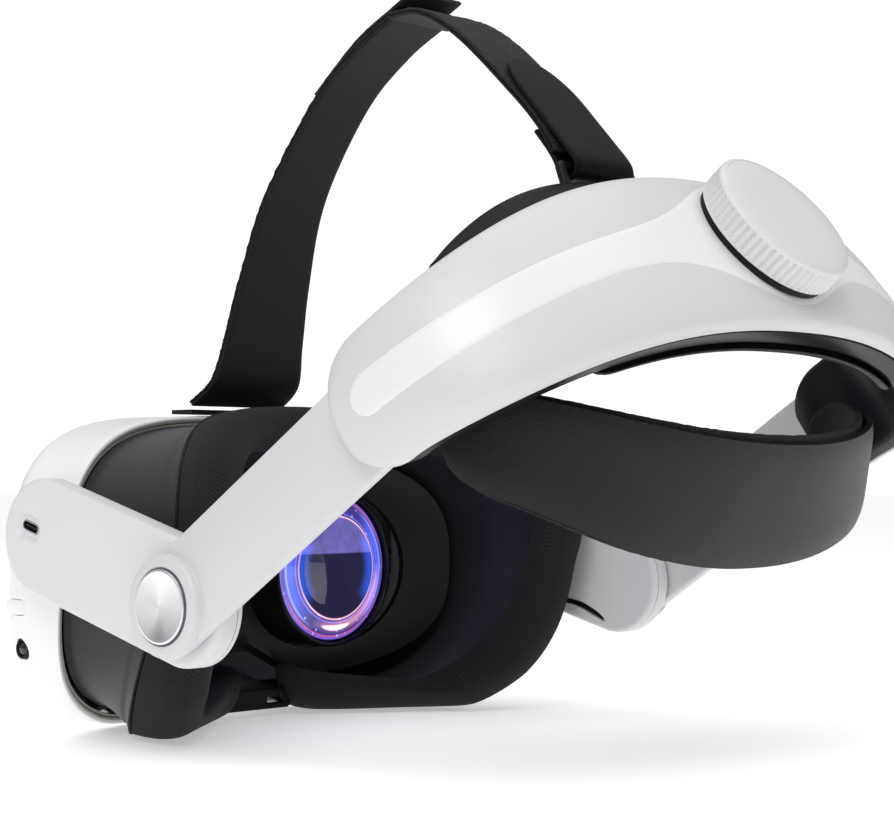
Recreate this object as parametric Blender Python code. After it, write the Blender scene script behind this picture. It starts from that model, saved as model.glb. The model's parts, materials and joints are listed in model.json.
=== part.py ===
"""Virtual reality headset with a rigid head strap, as separate parts for Blender 4.5.

Shapes are worked out in millimetres in the hub frame: its origin lies midway between the two
strap hubs, +X is the wearer's left, +Y is behind the wearer's eyes and +Z is up. Each part is
then placed in metres, on the surface that the headset stands on.
"""
import math

import bmesh
import bpy
from mathutils import Matrix, Vector

MM = 0.001
GAP = 0.3            # clearance between neighbouring parts

# Place of the hub axis in the finished frame.
HUB_Y = -7.43        # in front of the middle of the object's depth
HUB_Z = 43.6         # above the surface

# Visor.
SHELL_HALF_WIDTH = 88.5
SHELL_UP = 49.0      # from the visor's middle height to its top
SHELL_DOWN = 52.0    # to the bottom, before the flat underside
SHELL_WALL = 2.2
SHELL_POWER = 2.9    # squareness of the visor's outline
VISOR_Z = 5.4        # middle height of the visor
FLOOR_Z = -HUB_Z
RIM_Y = -92.0        # rim of the shell at the middle
FRONT_Y = -128.0     # front of the visor at the middle
CORNER_DEPTH = 16.0  # depth and inset of the rounded front edge
CORNER_INSET = 26.0
WRAP = 0.0036        # how much the visor curves round the face, per mm
RIM_LEAN = 0.147     # how much the rim leans forward towards its bottom
RING_POINTS = 44

# Facial interface.
FACE_Y = -60.0       # spacer's rear edge at the forehead
FACE_WRAP = 0.0059
CHEEK_LEAN = 0.46    # how fast the rear edge runs forward towards the cheeks
CHEEK_TOP_Z = 15.0
SPACER_WALL = 3.0
SLEEVE_DEPTH = 11.0  # how far the spacer reaches into the visor
FACE_OUTLINE = (82.0, 50.0, 59.0, 7.0, -42.3, 3.1)
NOSE_GAP = 13.5      # half-width of the cushion's gap at the nose
CUSHION_WIDTH = 15.0
NOSE_HALF = 15.0     # half-width of the nose arch
WINDOW_Z = 20.0      # middle height of the front window

# Eyes.
EYE_X = 32.0
EYE_Z = 4.0
BARREL_R = 26.4
LENS_R = 24.6
BARREL_FRONT_Y = -94.0
BARREL_REAR_Y = -73.0
EYE_TRAVEL_IN = 2.5
EYE_TRAVEL_OUT = 4.0
WHEEL = (40, -110.5, -35)   # centre of the lens spacing wheel

# Temple arms.
TEMPLE_IN = 89.2     # inner face
TEMPLE_OUT = 97.5    # outer face
TEMPLE_R = 17.0      # radius of the rounded ends
TEMPLE_FRONT = (-63.4, 17.2)   # centre of the front end, Y and Z
TEMPLE_PIN = (-69.0, 18.8)     # pivot on the visor, Y and Z
TEMPLE_PIN_R = 3.0

# Strap arms, which leave the hub upwards and back.
ARM_SLOPE = math.radians(33.2)
ARM_IN = 97.9
ARM_OUT = 101.6
ARM_HALF = 13.6
ARM_LENGTH = 115.0
BOSS_R = 14.0
BOSS_OUT = 104.2
PIN_R = 5.0
CAP_R = 10.2

# Rear housing, a band round the back of the head.
BAND_HALF_WIDTH = 102.0
BAND_END = (83.0, 55.0)        # Y and Z of the end's centre
BAND_DEPTH = 32.5              # from the ends' centres to the rear
BAND_RISE = 19.3               # extra rise towards the rear
BAND_END_R = 18.0
BAND_EXTRA_UP = 6.5            # added width at the rear, above and below the middle
BAND_EXTRA_DOWN = 10.5
BAND_POWER = 2.8
BAND_CROWN = 7.0
BAND_WALL = 2.0

# Knob.
KNOB_R = 21.5
KNOB_RIBS = 44
KNOB_BASE = 8.6                # height above the band's middle surface
KNOB_FACE = 17.0
PINION_TEETH = 12
PINION_TIP_R = 5.4
PINION_PITCH_R = 4.85
PINION_ROOT_R = 4.3
PINION_SHAFT_R = 3.4
RACK_TIP = 4.65                # distances of the toothed racks' faces from the pinion's axis
RACK_ROOT = 5.75
RACK_BACK = 10.5

# Lower band.
LOW_HALF_WIDTH = 83.0
LOW_END = (81.0, 44.5)
LOW_DEPTH = 43.0
LOW_REAR_Z = 27.0
LOW_TIP = 0.97                 # where its tapered ends stop, as a share of each side
LOW_TAPER = 0.20

# Top strap.
FRONT_HALF = 15.0
FRONT_BASE_EXTRA = 5.0
REAR_HALF = 13.5
STRAP_THICK = 2.0
FRONT_STRAP = [(-87, 58.2), (-78, 65), (-74, 78), (-69, 97), (-59, 124), (-38, 152), (-20, 166),
               (-5, 173.5)]
REAR_STRAP = [(-4.5, 173.5), (8, 173), (24, 164), (45, 145), (55, 134.5), (60.6, 126)]
TAB_STRAP = [(37.2, 156.2), (46.6, 146.8), (56.4, 136.2), (62.6, 129.5), (66.6, 125.1), (68.2, 122.4),
             (68.1, 119.8), (66.2, 118.1), (63.8, 118.1), (62.1, 120.2), (61.3, 123.3)]
TAB_THICK = 1.4
NARROWING = 3.6      # of the front strap's half-width, towards its top
BUCKLE = (66.3, 118.0)   # Y and Z of its middle

WHITE = (0.80, 0.80, 0.81)
LIGHT_GREY = (0.62, 0.62, 0.64)
CHARCOAL = (0.055, 0.055, 0.060)
BLACK = (0.012, 0.012, 0.014)

bodies = {}


def power(value, exponent):
    """Signed power, for superellipses."""
    return math.copysign(abs(value) ** exponent, value)


def across(side, point):
    """The point on the given side of the object, 1 for left and -1 for right."""
    return Vector((side * point[0], point[1], point[2]))


def clear_scene():
    for old in list(bpy.data.objects):
        bpy.data.objects.remove(old, do_unlink=True)


def plastic(name, colour, roughness, metallic=0.0):
    made = bpy.data.materials.new(name)
    made.use_nodes = True
    shader = made.node_tree.nodes["Principled BSDF"]
    shader.inputs["Base Color"].default_value = (*colour, 1.0)
    shader.inputs["Roughness"].default_value = roughness
    shader.inputs["Metallic"].default_value = metallic
    return made


def add_body(name, pivot, parent=None):
    """An empty on the body's joint axis, which carries the body's parts."""
    empty = bpy.data.objects.new("body_" + name, None)
    bpy.context.collection.objects.link(empty)
    world = (Vector(pivot) + Vector((0, HUB_Y, HUB_Z))) * MM
    if parent:
        empty.parent = bodies[parent][0]
        empty.location = world - bodies[parent][1]
    else:
        empty.location = world
    bodies[name] = (empty, world)


def add_part(name, shape, body, colour, roughness, metallic=0.0, smooth=True):
    """Put a shape made in the hub frame on its body, in metres."""
    empty, pivot = bodies[body]
    bmesh.ops.recalc_face_normals(shape, faces=shape.faces)
    move = Matrix.Translation(Vector((0, HUB_Y, HUB_Z)) * MM - pivot) @ Matrix.Scale(MM, 4)
    bmesh.ops.transform(shape, matrix=move, verts=shape.verts)
    mesh = bpy.data.meshes.new(name)
    shape.to_mesh(mesh)
    shape.free()
    if smooth:
        mesh.shade_smooth()
        mesh.set_sharp_from_angle(angle=math.radians(35))
    part = bpy.data.objects.new(name, mesh)
    bpy.context.collection.objects.link(part)
    part.parent = empty
    part.data.materials.append(plastic(name, colour, roughness, metallic))
    return part


def cut(part, body, cutters):
    """Cut each named shape out of the part."""
    for name, shape in cutters:
        tool = add_part("cutter_" + name, shape, body, BLACK, 0.5)
        tool.hide_render = True
        tool.display_type = "WIRE"
        boolean = part.modifiers.new(name, "BOOLEAN")
        boolean.object = tool
        boolean.operation = "DIFFERENCE"
        boolean.solver = "EXACT"


def bridge(shape, first, second):
    """Faces between two rings, either of which may be a single point."""
    count = max(len(first), len(second))
    for index in range(count):
        after = (index + 1) % count
        if len(first) == 1:
            corners = (first[0], second[after], second[index])
        elif len(second) == 1:
            corners = (first[index], first[after], second[0])
        else:
            corners = (first[index], first[after], second[after], second[index])
        shape.faces.new(corners)


def loft(rings, looped=False):
    """A closed body through rings of points, capped at its ends unless it closes on itself."""
    shape = bmesh.new()
    rows = [[shape.verts.new(point) for point in ring] for ring in rings]
    for first, second in zip(rows, rows[1:]):
        bridge(shape, first, second)
    if looped:
        bridge(shape, rows[-1], rows[0])
    else:
        for row in (rows[0], rows[-1]):
            if len(row) > 1:
                shape.faces.new(row)
    return shape


def turned(profile, centre, axis, steps=24, looped=False):
    """A turned body: the profile holds radius and height along the axis."""
    frame = Vector(axis).normalized().to_track_quat("Z", "Y").to_matrix()
    rings = []
    for radius, height in profile:
        if radius == 0:
            rings.append([Vector(centre) + frame @ Vector((0, 0, height))])
            continue
        ring = []
        for step in range(steps):
            angle = 2 * math.pi * step / steps
            local = Vector((radius * math.cos(angle), radius * math.sin(angle), height))
            ring.append(Vector(centre) + frame @ local)
        rings.append(ring)
    return loft(rings, looped)


def disc(radius, low, high, centre, axis, steps=24):
    return turned([(0, low), (radius, low), (radius, high), (0, high)], centre, axis, steps)


def tube(inner, outer, low, high, centre, axis, steps=24):
    profile = [(inner, low), (outer, low), (outer, high), (inner, high)]
    return turned(profile, centre, axis, steps, looped=True)


def block(low, high):
    rings = []
    for height in (low[2], high[2]):
        corners = ((low[0], low[1]), (high[0], low[1]), (high[0], high[1]), (low[0], high[1]))
        rings.append([Vector((x, y, height)) for x, y in corners])
    return loft(rings)


def pill(first, second, radius, steps=7):
    """Outline round two centres in a plane, as pairs of coordinates."""
    along = math.atan2(second[1] - first[1], second[0] - first[0])
    outline = []
    for centre, start in ((first, along + math.pi / 2), (second, along - math.pi / 2)):
        for step in range(steps + 1):
            angle = start + math.pi * step / steps
            outline.append((centre[0] + radius * math.cos(angle),
                            centre[1] + radius * math.sin(angle)))
    return outline


def side_pill(first, second, radius, x, steps=7):
    """A pill outline that stands in a plane of constant X."""
    return [Vector((x, y, z)) for y, z in pill(first, second, radius, steps)]


# ---------------------------------------------------------------- visor

def visor_outline(half_width, up, down, arch, floor=FLOOR_Z, squareness=SHELL_POWER, turns=None):
    """Outline of the visor, with an arch over the nose and a flat underside.

    turns are the directions of its points in degrees, evenly spaced if left out.
    """
    outline = []
    for turn in turns or [360 * step / RING_POINTS for step in range(RING_POINTS)]:
        angle = math.radians(turn)
        x = half_width * power(math.cos(angle), 2 / squareness)
        rise = power(math.sin(angle), 2 / squareness)
        z = VISOR_Z + (up if rise > 0 else down) * rise
        if rise < 0:
            z = max(z, floor) + arch * math.exp(-(x / NOSE_HALF) ** 2) * min(1, -2 * rise)
        outline.append((x, z))
    return outline


def rim_y(x, z):
    return RIM_Y + WRAP * x * x + RIM_LEAN * (z - VISOR_Z)


def shell_rings(inset, front_y, rim_back):
    """Rings from the rim to the middle of the front, inset from the outer surface."""
    rings = []
    sizes = (SHELL_HALF_WIDTH - inset, SHELL_UP - inset, SHELL_DOWN - inset)
    outline = visor_outline(*sizes, 8, FLOOR_Z + inset)
    rings.append([Vector((x, rim_y(x, z) + rim_back, z)) for x, z in outline])
    shoulder_y = front_y + CORNER_DEPTH
    rings.append([Vector((x, shoulder_y + WRAP * x * x, z)) for x, z in outline])
    for angle in (30, 60, 90):
        turn = math.radians(angle)
        drop = CORNER_INSET * (1 - math.cos(turn))
        outline = visor_outline(*(size - drop for size in sizes), 8 - 8 * math.sin(turn),
                                FLOOR_Z + inset + drop)
        y = shoulder_y - CORNER_DEPTH * math.sin(turn)
        rings.append([Vector((x, y + WRAP * x * x, z)) for x, z in outline])
    middle = rings[-1]
    for scale in (0.66, 0.33):
        ring = []
        for point in middle:
            x = point.x * scale
            z = VISOR_Z + (point.z - VISOR_Z) * scale
            ring.append(Vector((x, front_y + WRAP * x * x, z)))
        rings.append(ring)
    rings.append([Vector((0, front_y, VISOR_Z))])
    return rings


def sheet_between(outline, front_y, rear_y, wrap):
    """A body between two wrapped faces with the given outline."""
    rings = []
    for y in (front_y, rear_y):
        middle = [Vector((0, y, VISOR_Z))]
        half = [Vector((x / 2, y + wrap * x * x / 4, (z + VISOR_Z) / 2)) for x, z in outline]
        full = [Vector((x, y + wrap * x * x, z)) for x, z in outline]
        rings += [middle, half, full] if y == front_y else [full, half, middle]
    return loft(rings)


def window_shape(half_length, radius, depth_from, depth_to):
    """The long front window, wrapped like the visor's front."""
    ends = [(half_length + radius * math.sin(math.radians(turn)), radius * math.cos(math.radians(turn)))
            for turn in (0, 30, 55, 78)]
    flat = [(half_length * share, radius) for share in (0, 0.25, 0.5, 0.75)]
    right_half = flat + ends
    stations = [(-x, tall) for x, tall in right_half[:0:-1]] + right_half
    rings = []
    for x, tall in stations:
        near = FRONT_Y + depth_from + WRAP * x * x
        far = FRONT_Y + depth_to + WRAP * x * x
        rings.append([Vector((x, near, WINDOW_Z - tall)), Vector((x, near, WINDOW_Z + tall)),
                      Vector((x, far, WINDOW_Z + tall)), Vector((x, far, WINDOW_Z - tall))])
    return loft(rings)


def make_visor():
    outer = shell_rings(0, FRONT_Y, 0)
    inner = shell_rings(SHELL_WALL, FRONT_Y + SHELL_WALL, 0)
    shell = add_part("front_shell", loft(outer[::-1] + inner), "headset", WHITE, 0.35)
    pin_y, pin_z = TEMPLE_PIN
    cutters = [("window_hole", window_shape(40.3, 6.3, -3, 5)),
               ("button_hole", loft([side_pill((-90, -4.4), (-84, -4.4), 2.5, x) for x in (78, 92)])),
               ("rocker_hole", loft([[Vector((x, y, z)) for x, y in pill((-46, -101), (-34, -103), 2.6)]
                                     for z in (46, 60)])),
               ("wheel_slot", block((WHEEL[0] - 2.5, -119, -50), (WHEEL[0] + 2.5, -102, -26)))]
    for side, label in ((1, "left"), (-1, "right")):
        cutters.append((label + "_pin_hole",
                        disc(TEMPLE_PIN_R + 0.4, -9, 9, (side * 86, pin_y, pin_z), (1, 0, 0))))
        cutters.append((label + "_camera_hole",
                        disc(3.3, -9, 9, (side * 84, -87, -17), (1, 0, 0), 16)))
    cut(shell, "headset", cutters)

    add_part("sensor_window", window_shape(40, 6, 0.2, 1.8), "headset", BLACK, 0.1)
    for side, label in ((1, "left"), (-1, "right")):
        add_part("front_camera_" + label,
                 turned([(0, 0), (2, 0.4), (4, 0.6), (4, 6), (0, 6)], (side * 30, -122.2, 20),
                        (0, 1, 0), 16), "headset", BLACK, 0.1)
        add_part("side_camera_" + label,
                 turned([(0, 0), (3, 0), (3, 4), (1.6, 4.4), (0, 4.5)], (side * 81.5, -87, -17),
                        (side, 0, 0), 16), "headset", BLACK, 0.1)

    plate = visor_outline(78, 38, 29, 0)
    add_part("midframe", sheet_between(plate, -105, -103, WRAP / 2), "headset", LIGHT_GREY, 0.4, 1.0)
    add_part("mainboard", block((-56, -108.5, -18), (56, -107, 32)), "headset", (0.01, 0.10, 0.04), 0.5)
    add_part("battery", block((-48, -114.5, -18), (-8, -108.9, 10)), "headset", LIGHT_GREY, 0.5)
    heat_sink()
    add_part("cooling_fan", turned([(0, 0), (12, 0), (12, 6), (9.5, 6), (9.5, 2), (4, 2), (4, 6),
                                    (0, 6)], (35, -115, -6), (0, 1, 0), 24), "headset", BLACK, 0.5)

    shroud = add_part("inner_shroud", sheet_between(visor_outline(77, 39, 38, 10, -34), -88, -86, WRAP),
                      "headset", BLACK, 0.35)
    holes = []
    for side, label in ((1, "left"), (-1, "right")):
        inside = side * (EYE_X - EYE_TRAVEL_IN)
        outside = side * (EYE_X + EYE_TRAVEL_OUT)
        outline = pill((min(inside, outside), EYE_Z), (max(inside, outside), EYE_Z), BARREL_R + 0.5, 14)
        holes.append((label + "_eye_hole",
                      loft([[Vector((x, y, z)) for x, z in outline] for y in (-95, -60)])))
    cut(shroud, "headset", holes)

    add_part("strap_anchor", anchor_loop(), "headset", BLACK, 0.4)
    add_part("spacing_wheel", tube(1.2, 6, -2, 2, WHEEL, (1, 0, 0), 20), "spacing_wheel", BLACK, 0.5)
    add_part("wheel_pin", disc(0.8, -5, 5, WHEEL, (1, 0, 0), 10), "headset", LIGHT_GREY, 0.3, 1.0)
    add_part("power_button", loft([side_pill((-90, -4.4), (-84, -4.4), 2.1, x) for x in (84, 88.3)]),
             "power_button", WHITE, 0.4)
    add_part("volume_rocker", loft([[Vector((x, y, z)) for x, y in pill((-46, -101), (-34, -103), 2.2)]
                                    for z in (49, 53.9)]), "volume_rocker", WHITE, 0.4)


def heat_sink():
    """A base plate with upright fins."""
    fins, pitch, thick = 5, 5, 2
    foot, base, tip = -109, -111, -115
    outline = [(-4, foot)]
    for fin in range(fins):
        left = -4 + fin * pitch
        outline += [(left, tip), (left + thick, tip)]
        if fin < fins - 1:
            outline += [(left + thick, base), (left + pitch, base)]
    outline.append((-4 + (fins - 1) * pitch + thick, foot))
    rings = [[Vector((x, y, z)) for x, y in outline] for z in (-16, 12)]
    add_part("heat_sink", loft(rings), "headset", LIGHT_GREY, 0.3, 1.0, smooth=False)


def anchor_loop():
    """A flat bar with a slot on top of the visor, which the front strap loops round."""
    corners = ((-22, -94), (22, -94), (22, -84), (-22, -84))
    inner = ((-18.5, -91), (18.5, -91), (18.5, -87), (-18.5, -87))
    low, high = 54.8, 56.2
    rings = []
    for (outer_x, outer_y), (inner_x, inner_y) in zip(corners, inner):
        rings.append([Vector((outer_x, outer_y, low)), Vector((outer_x, outer_y, high)),
                      Vector((inner_x, inner_y, high)), Vector((inner_x, inner_y, low))])
    return loft(rings, looped=True)


# ---------------------------------------------------------------- facial interface

def face_y(x, z):
    return FACE_Y + FACE_WRAP * x * x - CHEEK_LEAN * max(0, CHEEK_TOP_Z - z)


def make_facial_interface():
    sleeve = visor_outline(81.8, 43, 44, 9, -38.0)
    flange = visor_outline(85.6, 46, 47, 9, -40.6)
    rear = visor_outline(*FACE_OUTLINE)
    rings = []
    for (sleeve_x, sleeve_z), (flange_x, flange_z), (rear_x, rear_z) in zip(sleeve, flange, rear):
        rim = rim_y(flange_x, flange_z)
        inside = Vector((sleeve_x, rim - SLEEVE_DEPTH, sleeve_z))
        step = Vector((sleeve_x, rim + GAP, sleeve_z))
        lip = Vector((flange_x, rim + GAP, flange_z))
        edge = Vector((rear_x, face_y(rear_x, rear_z), rear_z))
        middle = lip.lerp(edge, 0.5)
        inward = Vector((-middle.x, 0, VISOR_Z - middle.z)).normalized() * SPACER_WALL
        waist = middle + inward * 0.7
        rings.append([inside, step, lip, waist, edge, edge + inward, waist + inward,
                      inside + inward * 0.8])
    add_part("spacer_frame", loft(rings, looped=True), "facial_interface", CHARCOAL, 0.5)

    half_width, squareness = FACE_OUTLINE[0], FACE_OUTLINE[5]
    gap = math.degrees(math.asin((NOSE_GAP / half_width) ** (squareness / 2)))
    turns = [gap, gap + 1.6, gap + 4] + spread(gap + 8, 180, 20)
    turns = turns + [360 - turn for turn in turns[-2::-1]]
    rings = []
    for x, z in visor_outline(*FACE_OUTLINE, turns=[turn - 90 for turn in turns]):
        front_y = face_y(x, z) + 3 * GAP
        thick = 15 + 9 * min(1, max(0, (8 - z) / 40))
        inward = Vector((-x, 0, VISOR_Z - z)).normalized()
        base = Vector((x, front_y, z))
        back = Vector((0, 1, 0))
        rings.append([base, base - inward * 1.4 + back * thick * 0.5,
                      base + inward * 4 + back * thick,
                      base + inward * (CUSHION_WIDTH - 3) + back * (thick - 1),
                      base + inward * CUSHION_WIDTH + back * thick * 0.45,
                      base + inward * (CUSHION_WIDTH - 3)])
    for ring in rings:
        for point in ring:
            point.z = max(point.z, FLOOR_Z)
    add_part("face_cushion", loft(rings), "facial_interface", BLACK, 0.9)


# ---------------------------------------------------------------- eyes

def make_eyes():
    for side, label in ((1, "left"), (-1, "right")):
        body = label + "_eye"
        centre = (side * EYE_X, 0, EYE_Z)
        bore = LENS_R + GAP
        profile = [(bore, BARREL_FRONT_Y), (BARREL_R, BARREL_FRONT_Y), (BARREL_R, BARREL_REAR_Y - 1),
                   (BARREL_R - 0.4, BARREL_REAR_Y - 0.3), (bore, BARREL_REAR_Y - 0.3)]
        add_part("lens_barrel_" + label, turned(profile, centre, (0, 1, 0), 32, looped=True), body,
                 BLACK, 0.3)
        lens = [(0, -83), (12, -82), (LENS_R, -79.5), (LENS_R, -75.4), (21, -73.9), (17, -72.9), (9, -72.0),
                (0, -71.6)]
        add_part("lens_" + label, turned(lens, centre, (0, 1, 0), 32), body, (0.25, 0.2, 0.6), 0.05)
        add_part("display_" + label, block((centre[0] - 18, -97, EYE_Z - 18),
                                           (centre[0] + 18, -94.3, EYE_Z + 18)), body, BLACK, 0.2)


# ---------------------------------------------------------------- temple arms

def temple_ring(side, radius, x):
    return [across(side, p) for p in side_pill(TEMPLE_FRONT, (0, 0), radius, x, 9)]


def make_temple(side, label):
    body = label + "_temple"
    split = TEMPLE_IN + 2.2
    cover = [temple_ring(side, 13.6, TEMPLE_OUT), temple_ring(side, 16.2, TEMPLE_OUT - 0.7),
             temple_ring(side, TEMPLE_R, TEMPLE_OUT - 2.4), temple_ring(side, TEMPLE_R, split + GAP),
             temple_ring(side, 15.2, split + GAP), temple_ring(side, 15.2, TEMPLE_OUT - 2)]
    outer = add_part("temple_cover_" + label, loft(cover), body, WHITE, 0.38)
    cutters = [("hub_hole", disc(PIN_R + GAP, -9, 9, (side * 96, 0, 0), (1, 0, 0)))]
    if side > 0:
        cutters.append(("port_recess", disc(4.8, 0, 4, (TEMPLE_OUT - 0.6, -68, 20), (1, 0, 0))))
        cutters.append(("port_hole", loft([side_pill((-70.6, 20.7), (-66, 19.4), 1.7, x)
                                           for x in (93, 99)])))
    else:
        cutters.append(("jack_hole", disc(3.3, -9, 9, (-96, -68, 20), (1, 0, 0))))
    cut(outer, body, cutters)

    inner = add_part("temple_inner_" + label,
                     loft([temple_ring(side, TEMPLE_R - 1, TEMPLE_IN), temple_ring(side, TEMPLE_R, TEMPLE_IN + 1),
                           temple_ring(side, TEMPLE_R, split)]), body, LIGHT_GREY, 0.45)
    slit = pill((-19, -6), (-9, -10.5), 1.1, 5)
    cut(inner, body, [("speaker_slit", loft([[across(side, (x, y, z)) for y, z in slit] for x in (85, 96)])),
                      ("pin_hole", disc(TEMPLE_PIN_R + GAP, -9, 9, (side * TEMPLE_IN, *TEMPLE_PIN), (1, 0, 0)))])
    add_part("speaker_" + label, loft([[across(side, (x, y, z)) for y, z in
                                        pill((-30, 4), (-18, -1), 7, 6)] for x in (split + 0.4, 95.1)]),
             body, BLACK, 0.5)
    add_part("temple_pin_" + label,
             turned([(0, 82.5), (3.8, 82.5), (3.8, 84.3), (TEMPLE_PIN_R, 84.3), (TEMPLE_PIN_R, split),
                     (0, split)], (0, *TEMPLE_PIN), (side, 0, 0), 20), body,
             LIGHT_GREY, 0.3, 1.0)
    add_part("hub_pin_" + label,
             turned([(0, split + 0.3), (8, split + 0.3), (8, split + 2.3), (PIN_R, split + 2.3),
                     (PIN_R, 102.6), (0, 102.6)], (0, 0, 0), (side, 0, 0), 24), body,
             LIGHT_GREY, 0.3, 1.0)


def make_ports():
    ring = [side_pill((-70.6, 20.7), (-66, 19.4), radius, x) for radius, x in
            ((1.4, 93.2), (1.4, 96.7), (1.1, 96.7), (1.1, 93.6))]
    add_part("charging_port", loft(ring), "left_temple", LIGHT_GREY, 0.3, 1.0)
    add_part("audio_jack", tube(1.75, 3.0, -1.5, 3.8, (-93.4, -68, 20), (-1, 0, 0), 20), "right_temple",
             BLACK, 0.4)


# ---------------------------------------------------------------- strap arms

def arm_point(distance, offset, x):
    """A point along the strap arm from the hub, offset across its width."""
    along = (math.cos(ARM_SLOPE), math.sin(ARM_SLOPE))
    return Vector((x, distance * along[0] - offset * along[1], distance * along[1] + offset * along[0]))


def arm_outline(side, x, inset):
    half = ARM_HALF - inset
    points = [arm_point(ARM_LENGTH - inset, -half, x), arm_point(ARM_LENGTH - inset, half, x)]
    steps = 10
    for step in range(steps + 1):
        angle = math.pi / 2 + math.pi * step / steps
        points.append(arm_point(half * math.cos(angle), half * math.sin(angle), x))
    return [across(side, point) for point in points]


def make_strap_arm(side, label):
    body = label + "_strap_arm"
    rings = [arm_outline(side, ARM_IN, 0.8), arm_outline(side, ARM_IN + 0.8, 0),
             arm_outline(side, ARM_OUT - 0.8, 0), arm_outline(side, ARM_OUT, 0.8)]
    arm = add_part("strap_arm_" + label, loft(rings), body, WHITE, 0.4)
    cut(arm, body, [("arm_bore", disc(PIN_R + 0.8, -9, 9, (side * 100, 0, 0), (1, 0, 0)))])
    boss = [(PIN_R + 0.8, ARM_OUT + GAP), (BOSS_R, ARM_OUT + GAP), (BOSS_R - 0.6, BOSS_OUT - 0.4),
            (BOSS_R - 2, BOSS_OUT), (CAP_R + GAP, BOSS_OUT), (CAP_R + GAP, BOSS_OUT - 0.9),
            (PIN_R + 0.8, BOSS_OUT - 0.9)]
    add_part("hub_boss_" + label, turned(boss, (0, 0, 0), (side, 0, 0), 32, looped=True), body, WHITE, 0.4)
    add_part("hub_cap_" + label, turned([(0, BOSS_OUT - 0.6), (CAP_R, BOSS_OUT - 0.6), (CAP_R, 104.6),
                                         (CAP_R - 0.4, 105), (0, 105)], (0, 0, 0), (side, 0, 0), 32),
             body, (0.7, 0.7, 0.72), 0.3, 1.0)


# ---------------------------------------------------------------- rear housing

def band_station(t):
    """Centre, outward normal, width direction and half-width of the band.

    t runs from -1 at the right end, through 0 at the rear, to 1 at the left end. Past an end
    it goes on in a straight line, where a whole unit is the radius of the rounded end.
    """
    side = 1 if t >= 0 else -1
    beyond = max(0, abs(t) - 1)

    def centre(value):
        angle = (1 - min(1, abs(value))) * math.pi / 2
        x = BAND_HALF_WIDTH * abs(math.cos(angle)) ** (2 / BAND_POWER)
        y = BAND_END[0] + BAND_DEPTH * abs(math.sin(angle)) ** (2 / BAND_POWER)
        z = BAND_END[1] + 0.62 * (y - BAND_END[0]) + BAND_RISE * (1 - (x / BAND_HALF_WIDTH) ** 2.2)
        return Vector((math.copysign(x, value), y, z))

    middle = centre(t)
    rearness = 1 - (middle.x / BAND_HALF_WIDTH) ** 2
    tilt = math.radians(34 + 6 * rearness)
    width = Vector((0, -math.sin(tilt), math.cos(tilt)))
    added_up = BAND_EXTRA_UP * rearness
    added_down = BAND_EXTRA_DOWN * math.sqrt(max(0, rearness))
    half = BAND_END_R + (added_up + added_down) / 2
    if abs(t) > 0.985:
        tangent = Vector((0, -math.cos(ARM_SLOPE), -math.sin(ARM_SLOPE))) * side
        middle = centre(side)
        middle += Vector((0, -math.cos(ARM_SLOPE), -math.sin(ARM_SLOPE))) * BAND_END_R * beyond
        half = BAND_END_R * math.sqrt(max(0.0, 1 - beyond * beyond))
    else:
        step = 0.01
        tangent = (centre(t + step) - centre(t - step)).normalized()
        middle += width * (added_up - added_down) / 2
    normal = width.cross(tangent).normalized()
    if normal.dot(Vector((middle.x, middle.y - 40, 0))) < 0:
        normal.negate()
    return middle, normal, width, half


def station_at(x):
    """The band's t where its middle line crosses the given x."""
    return math.copysign(2 / math.pi * math.asin((abs(x) / BAND_HALF_WIDTH) ** (BAND_POWER / 2)), x)


def band_ring(t, section):
    middle, normal, width, half = band_station(t)
    return [middle + normal * n + width * w for n, w in section(half, t)]


def cover_section(half, t):
    beyond = max(0, abs(t) - 1)
    tall = BAND_CROWN * math.sqrt(max(0.06, 1 - beyond ** 2))
    hollow = max(0.3, (tall - BAND_WALL) * min(1, (1 - beyond) * 3))
    wide = max(1.0, half - BAND_WALL)
    outer = [(0, -half), (0.62 * tall, -0.93 * half), (0.93 * tall, -0.6 * half), (tall, 0),
             (0.93 * tall, 0.6 * half), (0.62 * tall, 0.93 * half), (0, half)]
    inner = [(0, wide), (0.6 * hollow, 0.92 * wide), (hollow, 0.5 * wide), (hollow, -0.5 * wide),
             (0.6 * hollow, -0.92 * wide), (0, -wide)]
    return outer + inner


def inner_section(half, t):
    return [(-0.4, -half + 0.2), (-7, -half + 1.5), (-7, half - 1.5), (-0.4, half - 0.2),
            (-0.4, half - 2), (-5.4, half - 3), (-5.4, -half + 3), (-0.4, -half + 2)]


def liner_section(half, t):
    top = half - 8
    return [(-7.3, -half + 0.6), (-9, -half), (-11.5, -half + 4), (-12.5, 0), (-11.5, top - 4),
            (-9, top), (-7.3, top - 0.6)]


def inlay_section(half, t):
    low = 7.3 - 5 * max(0, abs(t) - 1) ** 2
    flare = 5.5 + 17 * math.exp(-(abs(t) / 0.13) ** 2)
    return [(low, -flare), (low + 0.6, -flare + 0.5), (low + 0.6, flare - 0.5), (low, flare)]


def spread(low, high, count):
    return [low + (high - low) * index / (count - 1) for index in range(count)]


def knob_frame():
    """Centre of the band's surface under the knob, and the knob's axis."""
    middle, normal, width, half = band_station(0)
    return middle, normal, width


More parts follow.
